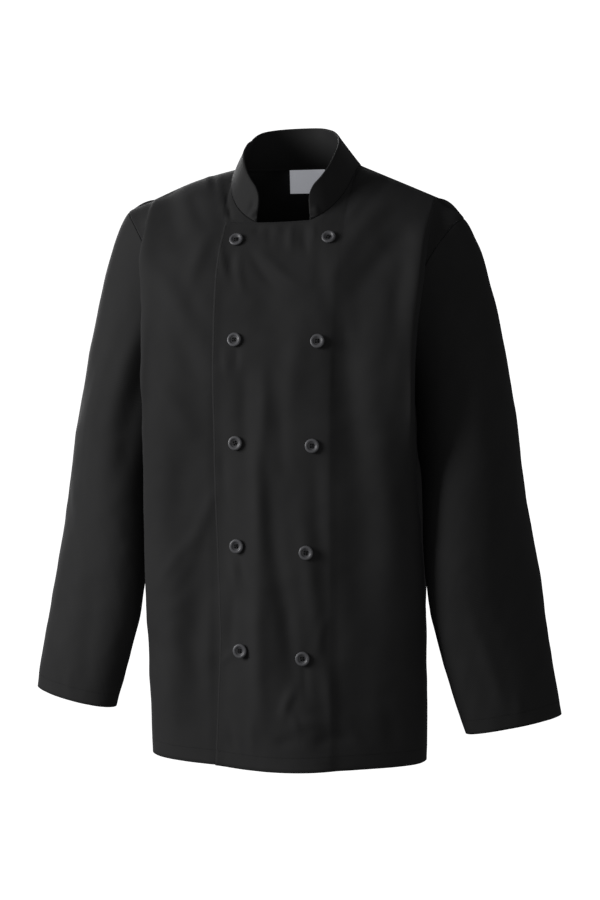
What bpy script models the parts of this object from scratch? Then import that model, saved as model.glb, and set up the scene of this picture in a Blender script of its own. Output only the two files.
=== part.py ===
"""A double-breasted chef jacket, filled out as worn, built as hollow cloth walls.

Frame: metres, +Z up, the front faces -Y and +X is the wearer's left. The origin is the
middle of the neck at shoulder height, where a wearer's shoulders carry the jacket.

The body is described by level sections below the underarm. Above it each column of cloth
runs from the underarm section up to the neckline or the shoulder seam, bowed out between.
A place across a front or the back is a number q:
  -1 leading edge (fronts)   0 centre line   1 edge of the lap   2 fold ridge   3 side seam
"""
import math

import bmesh
import bpy
from mathutils import Matrix, Vector
from mathutils.bvhtree import BVHTree

# ---------------------------------------------------------------- driving sizes
CLOTH = 0.002            # doubled twill with its seam allowances
BAND = 0.0028            # collar band: two cloths and interlining
SEAM = 0.0004            # clearance between pieces that a seam joins
LAYERS = 0.0008          # clearance between the two lapped fronts

LAP = 0.0735             # each front reaches this far past the centre line
COLLAR_END = 0.0345      # half the gap between the collar's front ends
NECK_HALF = 0.0805       # half the neck's width at the shoulder seams
NECK_SIDE_Z = 0.001      # the neck seam's height at the shoulder seams
NECK_SIDE_Y = 0.018
NECK_DROP = 0.0886       # how far the front neck lies below its sides
NECK_BACK_Y = 0.072
NECK_Q = 1.08            # place across a panel where the neck meets the shoulder seam
NECK_BACK_RISE = 0.0045

RIDGE_TOP = (0.184, -0.012, -0.0395)     # top of the fold ridge, on the shoulder seam
RIDGE_DROP = 0.0065                      # how much lower it is on the wearer's left
RIGHT_BOW = 0.004                        # rise of the right shoulder seam beside the neck
SHOULDER = (0.2175, -0.015, -0.056)      # outer end of the shoulder seam
LEFT_DROP = 0.018                        # the wearer's left shoulder hangs lower
LEFT_CUFF_DROP = 0.004                   # and the left cuff lower still
UNDERARM_Z = -0.290
HEM_Z = -0.743                           # hem at the side seams
HEM_DIP = 0.012                          # how much lower it hangs in the middle
HEM_TILT = 0.003                         # and on the wearer's left than on the right
ARMHOLE_FRONT = 0.062                    # the armhole's reach forward of its middle
ARMHOLE_BACK = 0.058                     # and behind it
ARMHOLE_WAIST = 2.8                      # how quickly the armhole leans in below

FRONT_BOW = 1.70                         # exponent of the fronts' upward curve
BACK_BOW = 2.0
SECTION_SQUARE = 2.2                     # exponent of a level section

# Level sections of the worn body: one row for each height.
SECTION_COLUMNS = ("z", "front", "ridge_x", "ridge_y", "side_x", "side_y",
                   "back_x", "back_y", "rear")
SECTIONS = (
    (-0.760, 0.147, 0.171, -0.060, 0.156, 0.008, 0.156, 0.070, 0.118),
    (-0.650, 0.151, 0.173, -0.071, 0.155, 0.006, 0.156, 0.072, 0.119),
    (-0.550, 0.154, 0.174, -0.084, 0.154, 0.004, 0.156, 0.074, 0.120),
    (-0.450, 0.156, 0.173, -0.100, 0.153, 0.002, 0.156, 0.077, 0.122),
    (-0.370, 0.156, 0.171, -0.111, 0.152, 0.000, 0.157, 0.080, 0.124),
    (-0.290, 0.154, 0.172, -0.118, 0.150, 0.000, 0.157, 0.082, 0.125),
)

# Sleeve sections: centre, half width, half depth and the turn of the wide way
# (degrees from sideways, towards the back), one row for each height.
SLEEVE_COLUMNS = ("z", "x", "y", "wide", "deep", "turn")
SLEEVE_SECTIONS = (
    (-0.350, 0.2245, -0.018, 0.070, 0.063, 78.0),
    (-0.420, 0.2360, -0.030, 0.075, 0.056, 60.0),
    (-0.500, 0.2465, -0.039, 0.078, 0.048, 43.0),
    (-0.560, 0.2545, -0.043, 0.0735, 0.0425, 32.0),
    (-0.630, 0.2705, -0.042, 0.0668, 0.038, 26.0),
    (-0.681, 0.2830, -0.038, 0.0625, 0.034, 24.0),
)
SLEEVE_SET = 0.70        # how far the sleeve leaves the armhole sideways before it hangs
SLEEVE_CAP_PULL = 0.20   # fullness of the sleeve's cap
SLEEVE_VALLEY = 0.30     # how far it tucks back behind the front and the back
SLEEVE_SQUARE = 0.70     # how squarely the cuff is cut across a sleeve hanging outwards

# The collar band's rise from the neck seam: one row for each place round the neck
# (degrees from the front), with the lean inwards, to the wearer's left and forwards,
# and the rise.
COLLAR_COLUMNS = ("turn", "lean_in", "lean_left", "lean_forward", "rise")
COLLAR_SECTIONS = (
    (25.0, 0.0010, 0.000, 0.002, 0.041),
    (60.0, 0.0155, 0.002, 0.006, 0.041),
    (90.0, 0.0240, -0.003, 0.014, 0.034),
    (130.0, 0.0180, -0.006, 0.018, 0.044),
    (180.0, 0.0000, -0.001, 0.010, 0.0525),
)
COLLAR_CORNER = 0.014    # radius of the collar's front corners

# Large folds, seen from the front or the back: where each starts and ends, half its
# width, and how far it stands out (or in, below zero).
FOLD_COLUMNS = ("face", "x0", "z0", "x1", "z1", "width", "out")
FOLDS = (
    ("front", -0.095, -0.190, -0.050, -0.330, 0.026, 0.0030),
    ("front", -0.020, -0.120, 0.010, -0.230, 0.022, -0.0025),
    ("front", 0.135, -0.120, 0.070, -0.250, 0.028, -0.0035),
    ("front", -0.005, -0.430, -0.012, -0.740, 0.022, 0.0035),
    ("front", 0.064, -0.520, 0.074, -0.740, 0.022, -0.0030),
    ("front", 0.105, -0.380, 0.120, -0.720, 0.026, 0.0030),
    ("front", -0.120, -0.420, -0.130, -0.720, 0.026, 0.0030),
    ("back", 0.070, -0.200, 0.045, -0.420, 0.030, -0.0040),
    ("back", -0.075, -0.190, -0.050, -0.400, 0.030, -0.0040),
    ("back", 0.100, -0.420, 0.115, -0.730, 0.026, 0.0045),
    ("back", 0.040, -0.480, 0.045, -0.740, 0.024, -0.0040),
    ("back", -0.030, -0.450, -0.035, -0.740, 0.026, 0.0045),
    ("back", -0.105, -0.440, -0.115, -0.740, 0.026, -0.0040),
)

# Buttons: two columns of five on the lapping front.
BUTTON_R = 0.0088
BUTTON_THICK = 0.0036
BUTTON_RIM = 0.0016
BUTTON_DISH = 0.0009
BUTTON_HOLE_R = 0.0011
BUTTON_HOLE_OUT = 0.0021
BUTTON_LIFT = 0.0003     # clearance to the cloth under it
BUTTON_SIDES = 20
BUTTON_PLACE_COLUMNS = ("name", "x", "z")
BUTTON_PLACE_ROWS = (
    ("button_right_1", -0.0550, -0.1042),
    ("button_right_2", -0.0463, -0.2299),
    ("button_right_3", -0.0441, -0.3556),
    ("button_right_4", -0.0426, -0.4812),
    ("button_right_5", -0.0382, -0.6086),
    ("button_left_1", 0.0615, -0.1031),
    ("button_left_2", 0.0571, -0.2327),
    ("button_left_3", 0.0522, -0.3591),
    ("button_left_4", 0.0449, -0.4880),
    ("button_left_5", 0.0395, -0.6166),
)

# Label, hung from the back neck seam inside the jacket.
LABEL_HALF = 0.0215
LABEL_THICK = 0.001
LABEL_STEPS = (2.75, 2.0, 1.0, 0.0)      # its rows, counted in the back's own from the seam

# Grid counts.
ROWS_LOWER = 12
ROWS_UPPER = 10
COLS_LAP = 3
COLS_MIDDLE = 4
COLS_NECK = 7
COLS_CHEST = 5
COLS_SIDE = 6
COLS_BACK_NECK = 5
ROWS_CAP = 8
ROWS_ARM = 10
ROWS_COLLAR = 4

BLACK_CLOTH = (0.012, 0.012, 0.014, 1.0)
BLACK_BUTTON = (0.020, 0.020, 0.023, 1.0)
WHITE_LABEL = (0.82, 0.83, 0.86, 1.0)


# ---------------------------------------------------------------- small tools
def mix(a, b, t):
    """a at t = 0, b at t = 1; numbers or vectors."""
    return a + (b - a) * t


def ease(t):
    """Smooth step from 0 to 1."""
    t = min(max(t, 0.0), 1.0)
    return t * t * (3.0 - 2.0 * t)


def power(value, exponent):
    """A cosine or sine raised to a power, with rounding below zero taken as zero."""
    return max(value, 0.0) ** exponent


def row_at(columns, rows, key):
    """One row of a table, read smoothly between its rows by its first column."""
    ordered = sorted(rows)
    keys = [row[0] for row in ordered]
    key = min(max(key, keys[0]), keys[-1])
    i = 0
    while i < len(keys) - 2 and key > keys[i + 1]:
        i += 1
    span = keys[i + 1] - keys[i]
    t = (key - keys[i]) / span
    values = {columns[0]: key}
    for c in range(1, len(columns)):
        slopes = []
        for j in (i, i + 1):
            low = max(j - 1, 0)
            high = min(j + 1, len(keys) - 1)
            slopes.append((ordered[high][c] - ordered[low][c]) / (keys[high] - keys[low]))
        t2 = t * t
        t3 = t2 * t
        values[columns[c]] = (
            (2.0 * t3 - 3.0 * t2 + 1.0) * ordered[i][c]
            + (t3 - 2.0 * t2 + t) * span * slopes[0]
            + (3.0 * t2 - 2.0 * t3) * ordered[i + 1][c]
            + (t3 - t2) * span * slopes[1]
        )
    return values


def shoulder_point(side):
    """Outer end of the shoulder seam; side is +1 on the wearer's left."""
    drop = LEFT_DROP if side > 0 else 0.0
    return Vector((SHOULDER[0], SHOULDER[1], SHOULDER[2] - drop))


# ---------------------------------------------------------------- the body surface
def section_point(q, z, back=False):
    """A point of the level section at height z, on the +X half."""
    row = row_at(SECTION_COLUMNS, SECTIONS, z)
    half = row["back_x"] if back else row["ridge_x"]
    turn_y = row["back_y"] if back else row["ridge_y"]
    depth = row["rear"] if back else -row["front"]
    if q <= 2.0:
        edge_turn = math.asin((LAP / half) ** (SECTION_SQUARE / 2.0))
        if q <= 1.0:
            x = abs(q) * LAP
            turn = math.asin((x / half) ** (SECTION_SQUARE / 2.0))
        else:
            turn = mix(edge_turn, math.pi / 2.0, q - 1.0)
            x = half * power(math.sin(turn), 2.0 / SECTION_SQUARE)
        y = turn_y + (depth - turn_y) * power(math.cos(turn), 2.0 / SECTION_SQUARE)
        return Vector((math.copysign(x, q), y, z))
    x = mix(half, row["side_x"], ease(q - 2.0))
    y = mix(turn_y, row["side_y"], q - 2.0)
    return Vector((x, y, z))


def neck_point(turn):
    """The neck seam on the +X half; turn runs in degrees from the front to the back."""
    angle = math.radians(turn)
    x = NECK_HALF * math.sin(angle)
    if turn <= 90.0:
        z = NECK_SIDE_Z - NECK_DROP * math.cos(angle)
        return front_point_at(x, z)
    back = -math.cos(angle)
    y = mix(NECK_SIDE_Y, NECK_BACK_Y, back)
    return Vector((x, y, NECK_SIDE_Z + NECK_BACK_RISE * back))


def front_point_at(x, z):
    """The upper front surface straight above a column of constant x, at height z."""
    base = section_point(x / LAP, UNDERARM_Z) if x <= LAP else None
    if base is None:
        base = section_point(1.0 + (x - LAP) / (RIDGE_TOP[0] - LAP), UNDERARM_Z)
        base.x = x
    v = (z - UNDERARM_Z) / (NECK_SIDE_Z - UNDERARM_Z)
    v = min(max(v, 0.0), 1.0)
    bow = (1.0 - v ** FRONT_BOW) ** (1.0 / FRONT_BOW)
    return Vector((x, mix(NECK_SIDE_Y, base.y, bow), z))


def seam_top(q, side):
    """The shoulder seam from the neck (NECK_Q) through the ridge (2) to its end (3)."""
    ridge = Vector(RIDGE_TOP)
    ridge.z -= RIDGE_DROP if side > 0 else 0.0
    neck = Vector((NECK_HALF, NECK_SIDE_Y, NECK_SIDE_Z))
    if q <= 2.0:
        t = (q - NECK_Q) / (2.0 - NECK_Q)
        point = neck.lerp(ridge, t)
        point.z += RIGHT_BOW * math.sin(math.pi * t) if side < 0 else 0.0
        return point
    end = shoulder_point(side)
    t = q - 2.0
    point = ridge.lerp(end, t)
    point.z += 0.25 * (ridge.z - end.z) * math.sin(math.pi * t)
    return point


def armhole_point(turn, side):
    """The armhole on the +X half: turn 0 at the shoulder, 90 in front, 180 underneath."""
    top = shoulder_point(side)
    low = section_point(3.0, UNDERARM_Z)
    angle = math.radians(turn)
    rise = (1.0 + math.cos(angle)) / 2.0
    x = mix(low.x, top.x, rise ** ARMHOLE_WAIST)
    reach = ARMHOLE_FRONT if turn <= 180.0 else ARMHOLE_BACK
    y = mix(low.y, top.y, rise) - reach * math.sin(angle)
    return Vector((x, y, mix(low.z, top.z, rise)))


def armhole_lift(turn):
    """Through-thickness direction shared by the armhole's two sides."""
    angle = math.radians(turn)
    outward = 0.55 * (1.0 - ease((min(turn, 360.0 - turn) - 90.0) / 90.0))
    return Vector((outward, -0.8 * math.sin(angle), 0.83 * math.cos(angle))).normalized()


def neck_lift(turn):
    """Through-thickness direction shared at the neck seam."""
    angle = math.radians(turn)
    up = mix(0.22, 0.58, ease(turn / 90.0))
    return Vector((0.85 * math.sin(angle), -0.95 * math.cos(angle), up)).normalized()


def seam_lift(q, side):
    """Through-thickness direction shared at the shoulder seam."""
    along = seam_top(min(q + 0.05, 3.0), side) - seam_top(max(q - 0.05, NECK_Q), side)
    up = Vector((-along.z, 0.0, along.x)).normalized()
    if q <= NECK_Q + 0.01:
        return (up + neck_lift(90.0)).normalized()
    if q >= 2.99:
        return armhole_lift(0.0)
    return up


def fold_push(face, x, z):
    """How far the large folds move the cloth out at a place seen from front or back."""
    push = 0.0
    for row in FOLDS:
        fold = dict(zip(FOLD_COLUMNS, row))
        if fold["face"] != face:
            continue
        run_x = fold["x1"] - fold["x0"]
        run_z = fold["z1"] - fold["z0"]
        length2 = run_x * run_x + run_z * run_z
        t = ((x - fold["x0"]) * run_x + (z - fold["z0"]) * run_z) / length2
        near = min(max(t, 0.0), 1.0)
        gap_x = x - fold["x0"] - near * run_x
        gap_z = z - fold["z0"] - near * run_z
        away = math.hypot(gap_x, gap_z) / fold["width"]
        push += fold["out"] * math.exp(-away * away) * math.sin(math.pi * mix(0.08, 0.92, near))
    return push


# ---------------------------------------------------------------- cloth walls
def grid_normals(points, flip, wrap):
    """Unit normals of a grid of points (rows of columns)."""
    rows = len(points)
    cols = len(points[0])
    normals = []
    for r in range(rows):
        line = []
        for c in range(cols):
            if wrap:
                across = points[r][(c + 1) % cols] - points[r][c - 1]
            else:
                across = points[r][min(c + 1, cols - 1)] - points[r][max(c - 1, 0)]
            up = points[min(r + 1, rows - 1)][c] - points[max(r - 1, 0)][c]
            normal = across.cross(up).normalized()
            line.append(-normal if flip else normal)
        normals.append(line)
    return normals


def cloth_wall(name, outer, lifts, thick, colour, wrap=False, flip=False):
    """A closed wall: the outer grid, the same grid moved in, and their joined edges."""
    mesh = bpy.data.meshes.new(name)
    bm = bmesh.new()
    rows = len(outer)
    cols = len(outer[0])
    skin = []
    inside = []
    for r in range(rows):
        skin.append([bm.verts.new(p) for p in outer[r]])
        moved = [outer[r][c] - lifts[r][c] * thick for c in range(cols)]
        inside.append([bm.verts.new(p) for p in moved])

    def face(a, b, c, d):
        corners = (d, c, b, a) if flip else (a, b, c, d)
        bm.faces.new(corners).smooth = True

    last = cols if wrap else cols - 1
    for r in range(rows - 1):
        for c in range(last):
            n = (c + 1) % cols
            face(skin[r][c], skin[r][n], skin[r + 1][n], skin[r + 1][c])
            face(inside[r][n], inside[r][c], inside[r + 1][c], inside[r + 1][n])
    for c in range(last):
        n = (c + 1) % cols
        face(inside[0][c], inside[0][n], skin[0][n], skin[0][c])
        face(skin[-1][c], skin[-1][n], inside[-1][n], inside[-1][c])
    if not wrap:
        for r in range(rows - 1):
            face(skin[r][0], skin[r + 1][0], inside[r + 1][0], inside[r][0])
            face(skin[r + 1][-1], skin[r][-1], inside[r][-1], inside[r + 1][-1])
    bmesh.ops.triangulate(bm, faces=bm.faces[:], quad_method="BEAUTY")
    bm.to_mesh(mesh)
    bm.free()
    mesh.set_sharp_from_angle(angle=math.radians(50.0))
    return add_object(name, mesh, colour, 0.85)


def add_object(name, mesh, colour, rough):
    """A named object with its own plain material."""
    material = bpy.data.materials.new(name)
    material.use_nodes = True
    shader = material.node_tree.nodes["Principled BSDF"]
    shader.inputs["Base Color"].default_value = colour
    shader.inputs["Roughness"].default_value = rough
    mesh.materials.append(material)
    obj = bpy.data.objects.new(name, mesh)
    bpy.context.scene.collection.objects.link(obj)
    return obj


# ---------------------------------------------------------------- panels
def front_columns():
    """Places across a front: (kind, q or neck turn), from the leading edge to the side."""
    columns = []
    for i in range(COLS_LAP):
        columns.append(("lap", mix(-LAP, -COLLAR_END, i / COLS_LAP)))
    for i in range(COLS_MIDDLE):
        columns.append(("lap", mix(-COLLAR_END, COLLAR_END, i / COLS_MIDDLE)))
    first = math.degrees(math.asin(COLLAR_END / NECK_HALF))
    for i in range(COLS_NECK):
        columns.append(("neck", mix(first, 90.0, (i / COLS_NECK) ** 1.3)))
    for i in range(COLS_CHEST):
        columns.append(("seam", mix(NECK_Q, 2.0, i / COLS_CHEST)))
    for i in range(COLS_SIDE + 1):
        columns.append(("side", mix(2.0, 3.0, i / COLS_SIDE)))
    return columns


def top_edge_z(x):
    """Height of the fronts' straight top edge, which sags a little between the collar ends."""
    middle = (COLLAR_END - LAP) / 2.0
    reach = (COLLAR_END + LAP) / 2.0
    front_neck = NECK_SIDE_Z - NECK_DROP * math.sqrt(1.0 - (COLLAR_END / NECK_HALF) ** 2)
    return front_neck - 0.002 * (1.0 - ((x - middle) / reach) ** 2)


def column_line(kind, place, side, back):
    """Points of one column from the underarm level to its top, not yet pushed by folds."""
    points = []
    for j in range(ROWS_UPPER + 1):
        share = j / ROWS_UPPER
        bow = BACK_BOW if back else FRONT_BOW
        if kind in ("lap", "neck") and not back:
            x = place if kind == "lap" else NECK_HALF * math.sin(math.radians(place))
            base = front_point_at(abs(x), UNDERARM_Z)
            top_z = top_edge_z(x) if kind == "lap" else neck_point(place).z
            v_top = (top_z - UNDERARM_Z) / (NECK_SIDE_Z - UNDERARM_Z)
            full = math.asin(min(v_top, 1.0) ** (bow / 2.0))
            v = power(math.sin(full * share), 2.0 / bow)
            c = power(math.cos(full * share), 2.0 / bow)
            point = Vector((x, mix(NECK_SIDE_Y, base.y, c), mix(UNDERARM_Z, NECK_SIDE_Z, v)))
        else:
            q = min(place_q(kind, place), 2.0)
            base = section_point(q, UNDERARM_Z, back)
            top = neck_point(place) if kind == "neck" else seam_top(q, side)
            v = power(math.sin(share * math.pi / 2.0), 2.0 / bow)
            c = power(math.cos(share * math.pi / 2.0), 2.0 / bow)
            point = Vector((mix(base.x, top.x, v), mix(top.y, base.y, c), mix(base.z, top.z, v)))
            if kind == "side":
                t = place - 2.0
                turn = 180.0 * (1.0 - share)
                edge = armhole_point(360.0 - turn if back else turn, side)
                if j == ROWS_UPPER:
                    point = seam_top(place, side)
                else:
                    point = Vector((
                        mix(point.x, edge.x, ease(t)),
                        mix(point.y, edge.y, t),
                        mix(point.z, edge.z, t),
                    ))
        points.append(point)
    return points


def place_q(kind, place):
    """The section place of a column."""
    if kind == "lap":
        return place / LAP
    if kind == "neck":
        x = NECK_HALF * math.sin(math.radians(place))
        return x / LAP if x <= LAP else mix(1.0, NECK_Q, (x - LAP) / (NECK_HALF - LAP))
    return place


def hem_height(q, side):
    """The hem's height: it dips in the middle of the front and the back."""
    return HEM_Z - HEM_DIP * (1.0 - ease(abs(q) / 3.0)) - side * HEM_TILT * q / 3.0


def panel_grid(columns, side, back):
    """Rows of points on the +X half, from the hem up, and each point's column kind."""
    lines = []
    for kind, place in columns:
        line = []
        for i in range(ROWS_LOWER):
            q = place_q(kind, place)
            z = mix(hem_height(q, side), UNDERARM_Z, i / ROWS_LOWER)
            line.append(section_point(q, z, back))
        line += column_line(kind, place, side, back)
        lines.append(line)
    return [[line[r] for line in lines] for r in range(ROWS_LOWER + ROWS_UPPER + 1)]


def edge_lifts(columns, lifts, side, back):
    """Set the shared directions on the neckline, shoulder, armhole and side edges."""
    for c, (kind, place) in enumerate(columns):
        if kind == "neck":
            lifts[-1][c] = neck_lift(place)
        elif kind in ("seam", "side"):
            lifts[-1][c] = seam_lift(place, side)
    for j in range(ROWS_LOWER + ROWS_UPPER + 1):
        if j < ROWS_LOWER:
            lifts[j][-1] = Vector((1.0, 0.0, 0.0))
        else:
            turn = 180.0 * (1.0 - (j - ROWS_LOWER) / ROWS_UPPER)
            lifts[j][-1] = armhole_lift(360.0 - turn if back else turn)


def push_folds(points, normals, face, side):
    """Move the grid along its normals by the large folds, easing off at its seams."""
    for r, line in enumerate(points):
        for c, point in enumerate(line):
            if c == len(line) - 1 or r == len(points) - 1:
                continue
            point += normals[r][c] * fold_push(face, point.x * side, point.z)


def layer_share(point):
    """How fully a front is lifted over, or let in under, the other front."""
    share = 1.0 - ease((point.x - LAP) / 0.014)
    above = point.z - top_edge_z(COLLAR_END) - 0.008
    if point.x > COLLAR_END + 0.0001:
        share *= 1.0 - ease(above / 0.014)
    return share


def build_front(name, side):
    """One front. The wearer's left (side +1) laps over the right."""
    columns = front_columns()
    points = panel_grid(columns, side, False)
    normals = grid_normals(points, False, False)
    push_folds(points, normals, "front", side)
    layer = side * (CLOTH + LAYERS) / 2.0
    for r, line in enumerate(points):
        for c, (kind, place) in enumerate(columns):
            at_neck = kind == "neck" and r == len(points) - 1
            lift = neck_lift(place) if at_neck else normals[r][c]
            line[c] += lift * layer * layer_share(line[c])
    normals = grid_normals(points, False, False)
    edge_lifts(columns, normals, side, False)
    for c, (kind, place) in enumerate(columns):
        if kind in ("seam", "side"):
            points[-1][c].y -= SEAM / 2.0
    for line in points:
        line[-1].y -= SEAM / 2.0
    return finish_panel(name, points, normals, side)


def finish_panel(name, points, lifts, side):
    """Mirror a +X half panel to its side and build its wall."""
    if side < 0:
        points = [[Vector((-p.x, p.y, p.z)) for p in line] for line in points]
        lifts = [[Vector((-n.x, n.y, n.z)) for n in line] for line in lifts]
    return cloth_wall(name, points, lifts, CLOTH, BLACK_CLOTH, flip=side < 0)


def back_columns():
    """Places across half the back, from the centre to the side."""
    columns = []
    label_edge = 180.0 - math.degrees(math.asin(LABEL_HALF / NECK_HALF))
    columns.append(("neck", 180.0))
    for i in range(COLS_BACK_NECK):
        columns.append(("neck", mix(label_edge, 90.0, i / COLS_BACK_NECK)))
    for i in range(COLS_CHEST):
        columns.append(("seam", mix(NECK_Q, 2.0, i / COLS_CHEST)))
    for i in range(COLS_SIDE + 1):
        columns.append(("side", mix(2.0, 3.0, i / COLS_SIDE)))
    return columns


def build_back():
    """The back in one piece, from the wearer's right side seam to the left."""
    halves = {}
    columns = back_columns()
    for side in (-1.0, 1.0):
        points = panel_grid(columns, side, True)
        normals = grid_normals(points, True, False)
        for line in normals:
            line[0] = Vector((0.0, line[0].y, line[0].z)).normalized()
        push_folds(points, normals, "back", side)
        normals = grid_normals(points, True, False)
        edge_lifts(columns, normals, side, True)
        normals[-1][0] = neck_lift(180.0)
        for c in range(COLS_BACK_NECK + 1, len(columns)):
            points[-1][c].y += SEAM / 2.0
        for line in points:
            line[-1].y += SEAM / 2.0
        halves[side] = (points, normals)
    rows = []
    lifts = []
    for r in range(ROWS_LOWER + ROWS_UPPER + 1):
        right = [Vector((-p.x, p.y, p.z)) for p in halves[-1.0][0][r]]
        right_n = [Vector((-n.x, n.y, n.z)) for n in halves[-1.0][1][r]]
        left = halves[1.0][0][r]
        left_n = halves[1.0][1][r]
        rows.append(right[:0:-1] + left)
        lifts.append(right_n[:0:-1] + left_n)
    middle = len(columns) - 1
    for line in lifts:
        line[middle] = Vector((0.0, line[middle].y, line[middle].z)).normalized()
    cloth_wall("back", rows, lifts, CLOTH, BLACK_CLOTH, flip=True)
    return rows, lifts


# ---------------------------------------------------------------- sleeves
def sleeve_turns():
    """Places round the armhole, the same as the panels' rows: degrees from the shoulder."""
    front = [180.0 * j / ROWS_UPPER for j in range(ROWS_UPPER)]
    back = [180.0 + 180.0 * j / ROWS_UPPER for j in range(ROWS_UPPER)]
    return front + back


def arm_ring(z, side, turn):
    """A point round the hanging sleeve on the +X half, and the sleeve's direction there."""
    row = row_at(SLEEVE_COLUMNS, SLEEVE_SECTIONS, z)
    step = 0.01
    above = row_at(SLEEVE_COLUMNS, SLEEVE_SECTIONS, min(z + step, -0.350))
    below = row_at(SLEEVE_COLUMNS, SLEEVE_SECTIONS, max(z - step, -0.690))
    axis = Vector((below["x"] - above["x"], below["y"] - above["y"], below["z"] - above["z"]))
    axis.x *= SLEEVE_SQUARE
    axis.y *= SLEEVE_SQUARE
    axis.normalize()
    turn_out = math.radians(row["turn"])
    level_wide = Vector((math.cos(turn_out), math.sin(turn_out), 0.0))
    level_deep = Vector((math.sin(turn_out), -math.cos(turn_out), 0.0))
    wide = (level_wide - axis * level_wide.dot(axis)).normalized()
    deep = (level_deep - axis * level_deep.dot(axis)).normalized()
    angle = math.radians(turn) + turn_out
    centre = Vector((row["x"], row["y"], row["z"]))
    point = centre + wide * row["wide"] * math.cos(angle) + deep * row["deep"] * math.sin(angle)
    if side > 0:
        below = (SLEEVE_SECTIONS[0][0] - z) / (SLEEVE_SECTIONS[0][0] - SLEEVE_SECTIONS[-1][0])
        point.z -= LEFT_DROP + LEFT_CUFF_DROP * below
    return point, axis


def build_sleeve(name, side):
    """One sleeve: its cap swings from the armhole to the hanging arm."""
    turns = sleeve_turns()
    points = []
    for k in range(ROWS_CAP):
        t = k / ROWS_CAP
        t2 = t * t
        t3 = t2 * t
        line = []
        for turn in turns:
            start = armhole_point(turn, side) + Vector((SEAM, 0.0, 0.0))
            end, axis = arm_ring(SLEEVE_SECTIONS[0][0], side, turn)
            reach = (end - start).length
            tuck = SLEEVE_VALLEY * math.sin(math.radians(turn))
            leave = Vector((SLEEVE_SET, tuck, -SLEEVE_SET)) * reach * SLEEVE_CAP_PULL * 2.0
            arrive = axis * reach * 1.1
            line.append(
                start * (2.0 * t3 - 3.0 * t2 + 1.0)
                + leave * (t3 - 2.0 * t2 + t)
                + end * (3.0 * t2 - 2.0 * t3)
                + arrive * (t3 - t2)
            )
        points.append(line)
    for k in range(ROWS_ARM + 1):
        z = mix(SLEEVE_SECTIONS[0][0], SLEEVE_SECTIONS[-1][0], k / ROWS_ARM)
        points.append([arm_ring(z, side, turn)[0] for turn in turns])
    lifts = grid_normals(points, False, True)
    lifts[0] = [armhole_lift(turn) for turn in turns]
    if side < 0:
        points = [[Vector((-p.x, p.y, p.z)) for p in line] for line in points]
        lifts = [[Vector((-n.x, n.y, n.z)) for n in line] for line in lifts]
    return cloth_wall(name, points, lifts, CLOTH, BLACK_CLOTH, wrap=True, flip=side < 0)


# ---------------------------------------------------------------- collar and label
def collar_line(turn, side):
    """The collar's foot and its rise at one place, on the +X half."""
    row = row_at(COLLAR_COLUMNS, COLLAR_SECTIONS, turn)
    inwards = -row["lean_in"] * math.sin(math.radians(turn)) + side * row["lean_left"]
    lean = Vector((inwards, -row["lean_forward"], row["rise"]))
    foot = neck_point(turn)
    first = math.degrees(math.asin(COLLAR_END / NECK_HALF))
    along = (foot - neck_point(first)).length
    height = lean.length
    if along < COLLAR_CORNER:
        height -= COLLAR_CORNER - math.sqrt(COLLAR_CORNER ** 2 - (COLLAR_CORNER - along) ** 2)
    rise = lean.normalized() * height
    if turn < 90.0:
        layer = side * (CLOTH + LAYERS) / 2.0
        foot = foot + neck_lift(turn) * layer * layer_share(foot)
    return foot + lean.normalized() * SEAM, rise


def build_collar():
    """The stand collar, from the wearer's left front end round the back to the right."""
    turns = [place for kind, place in front_columns() if kind == "neck"]
    turns.append(90.0)
    turns += [place for kind, place in reversed(back_columns()) if kind == "neck"][1:]
    halves = {}
    for side in (-1.0, 1.0):
        lines = [collar_line(turn, side) for turn in turns]
        halves[side] = [
            [foot + rise * r / ROWS_COLLAR for foot, rise in lines]
            for r in range(ROWS_COLLAR + 1)
        ]
    points = []
    for left, right in zip(halves[1.0], halves[-1.0]):
        points.append(left + [Vector((-p.x, p.y, p.z)) for p in right[-2::-1]])
    lifts = grid_normals(points, False, False)
    first = [neck_lift(turn) for turn in turns]
    lifts[0] = first + [Vector((-n.x, n.y, n.z)) for n in first[-2::-1]]
    return cloth_wall("collar", points, lifts, BAND, BLACK_CLOTH)


def build_label(back_points, back_lifts):
    """The label lies on the back's inside, hung from the neck seam."""
    middle = len(back_points[0]) // 2
    top = len(back_points) - 1
    points = []
    lifts = []
    for step in LABEL_STEPS:
        low = top - math.ceil(step)
        high = min(low + 1, top)
        share = math.ceil(step) - step
        line = []
        for c in (middle - 1, middle, middle + 1):
            lift = mix(back_lifts[low][c], back_lifts[high][c], share)
            spot = mix(back_points[low][c], back_points[high][c], share)
            line.append((spot - lift * (CLOTH + SEAM), lift))
        points.append([spot for spot, lift in line])
        lifts.append([lift for spot, lift in line])
    return cloth_wall("label", points, lifts, LABEL_THICK, WHITE_LABEL, flip=True)


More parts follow.
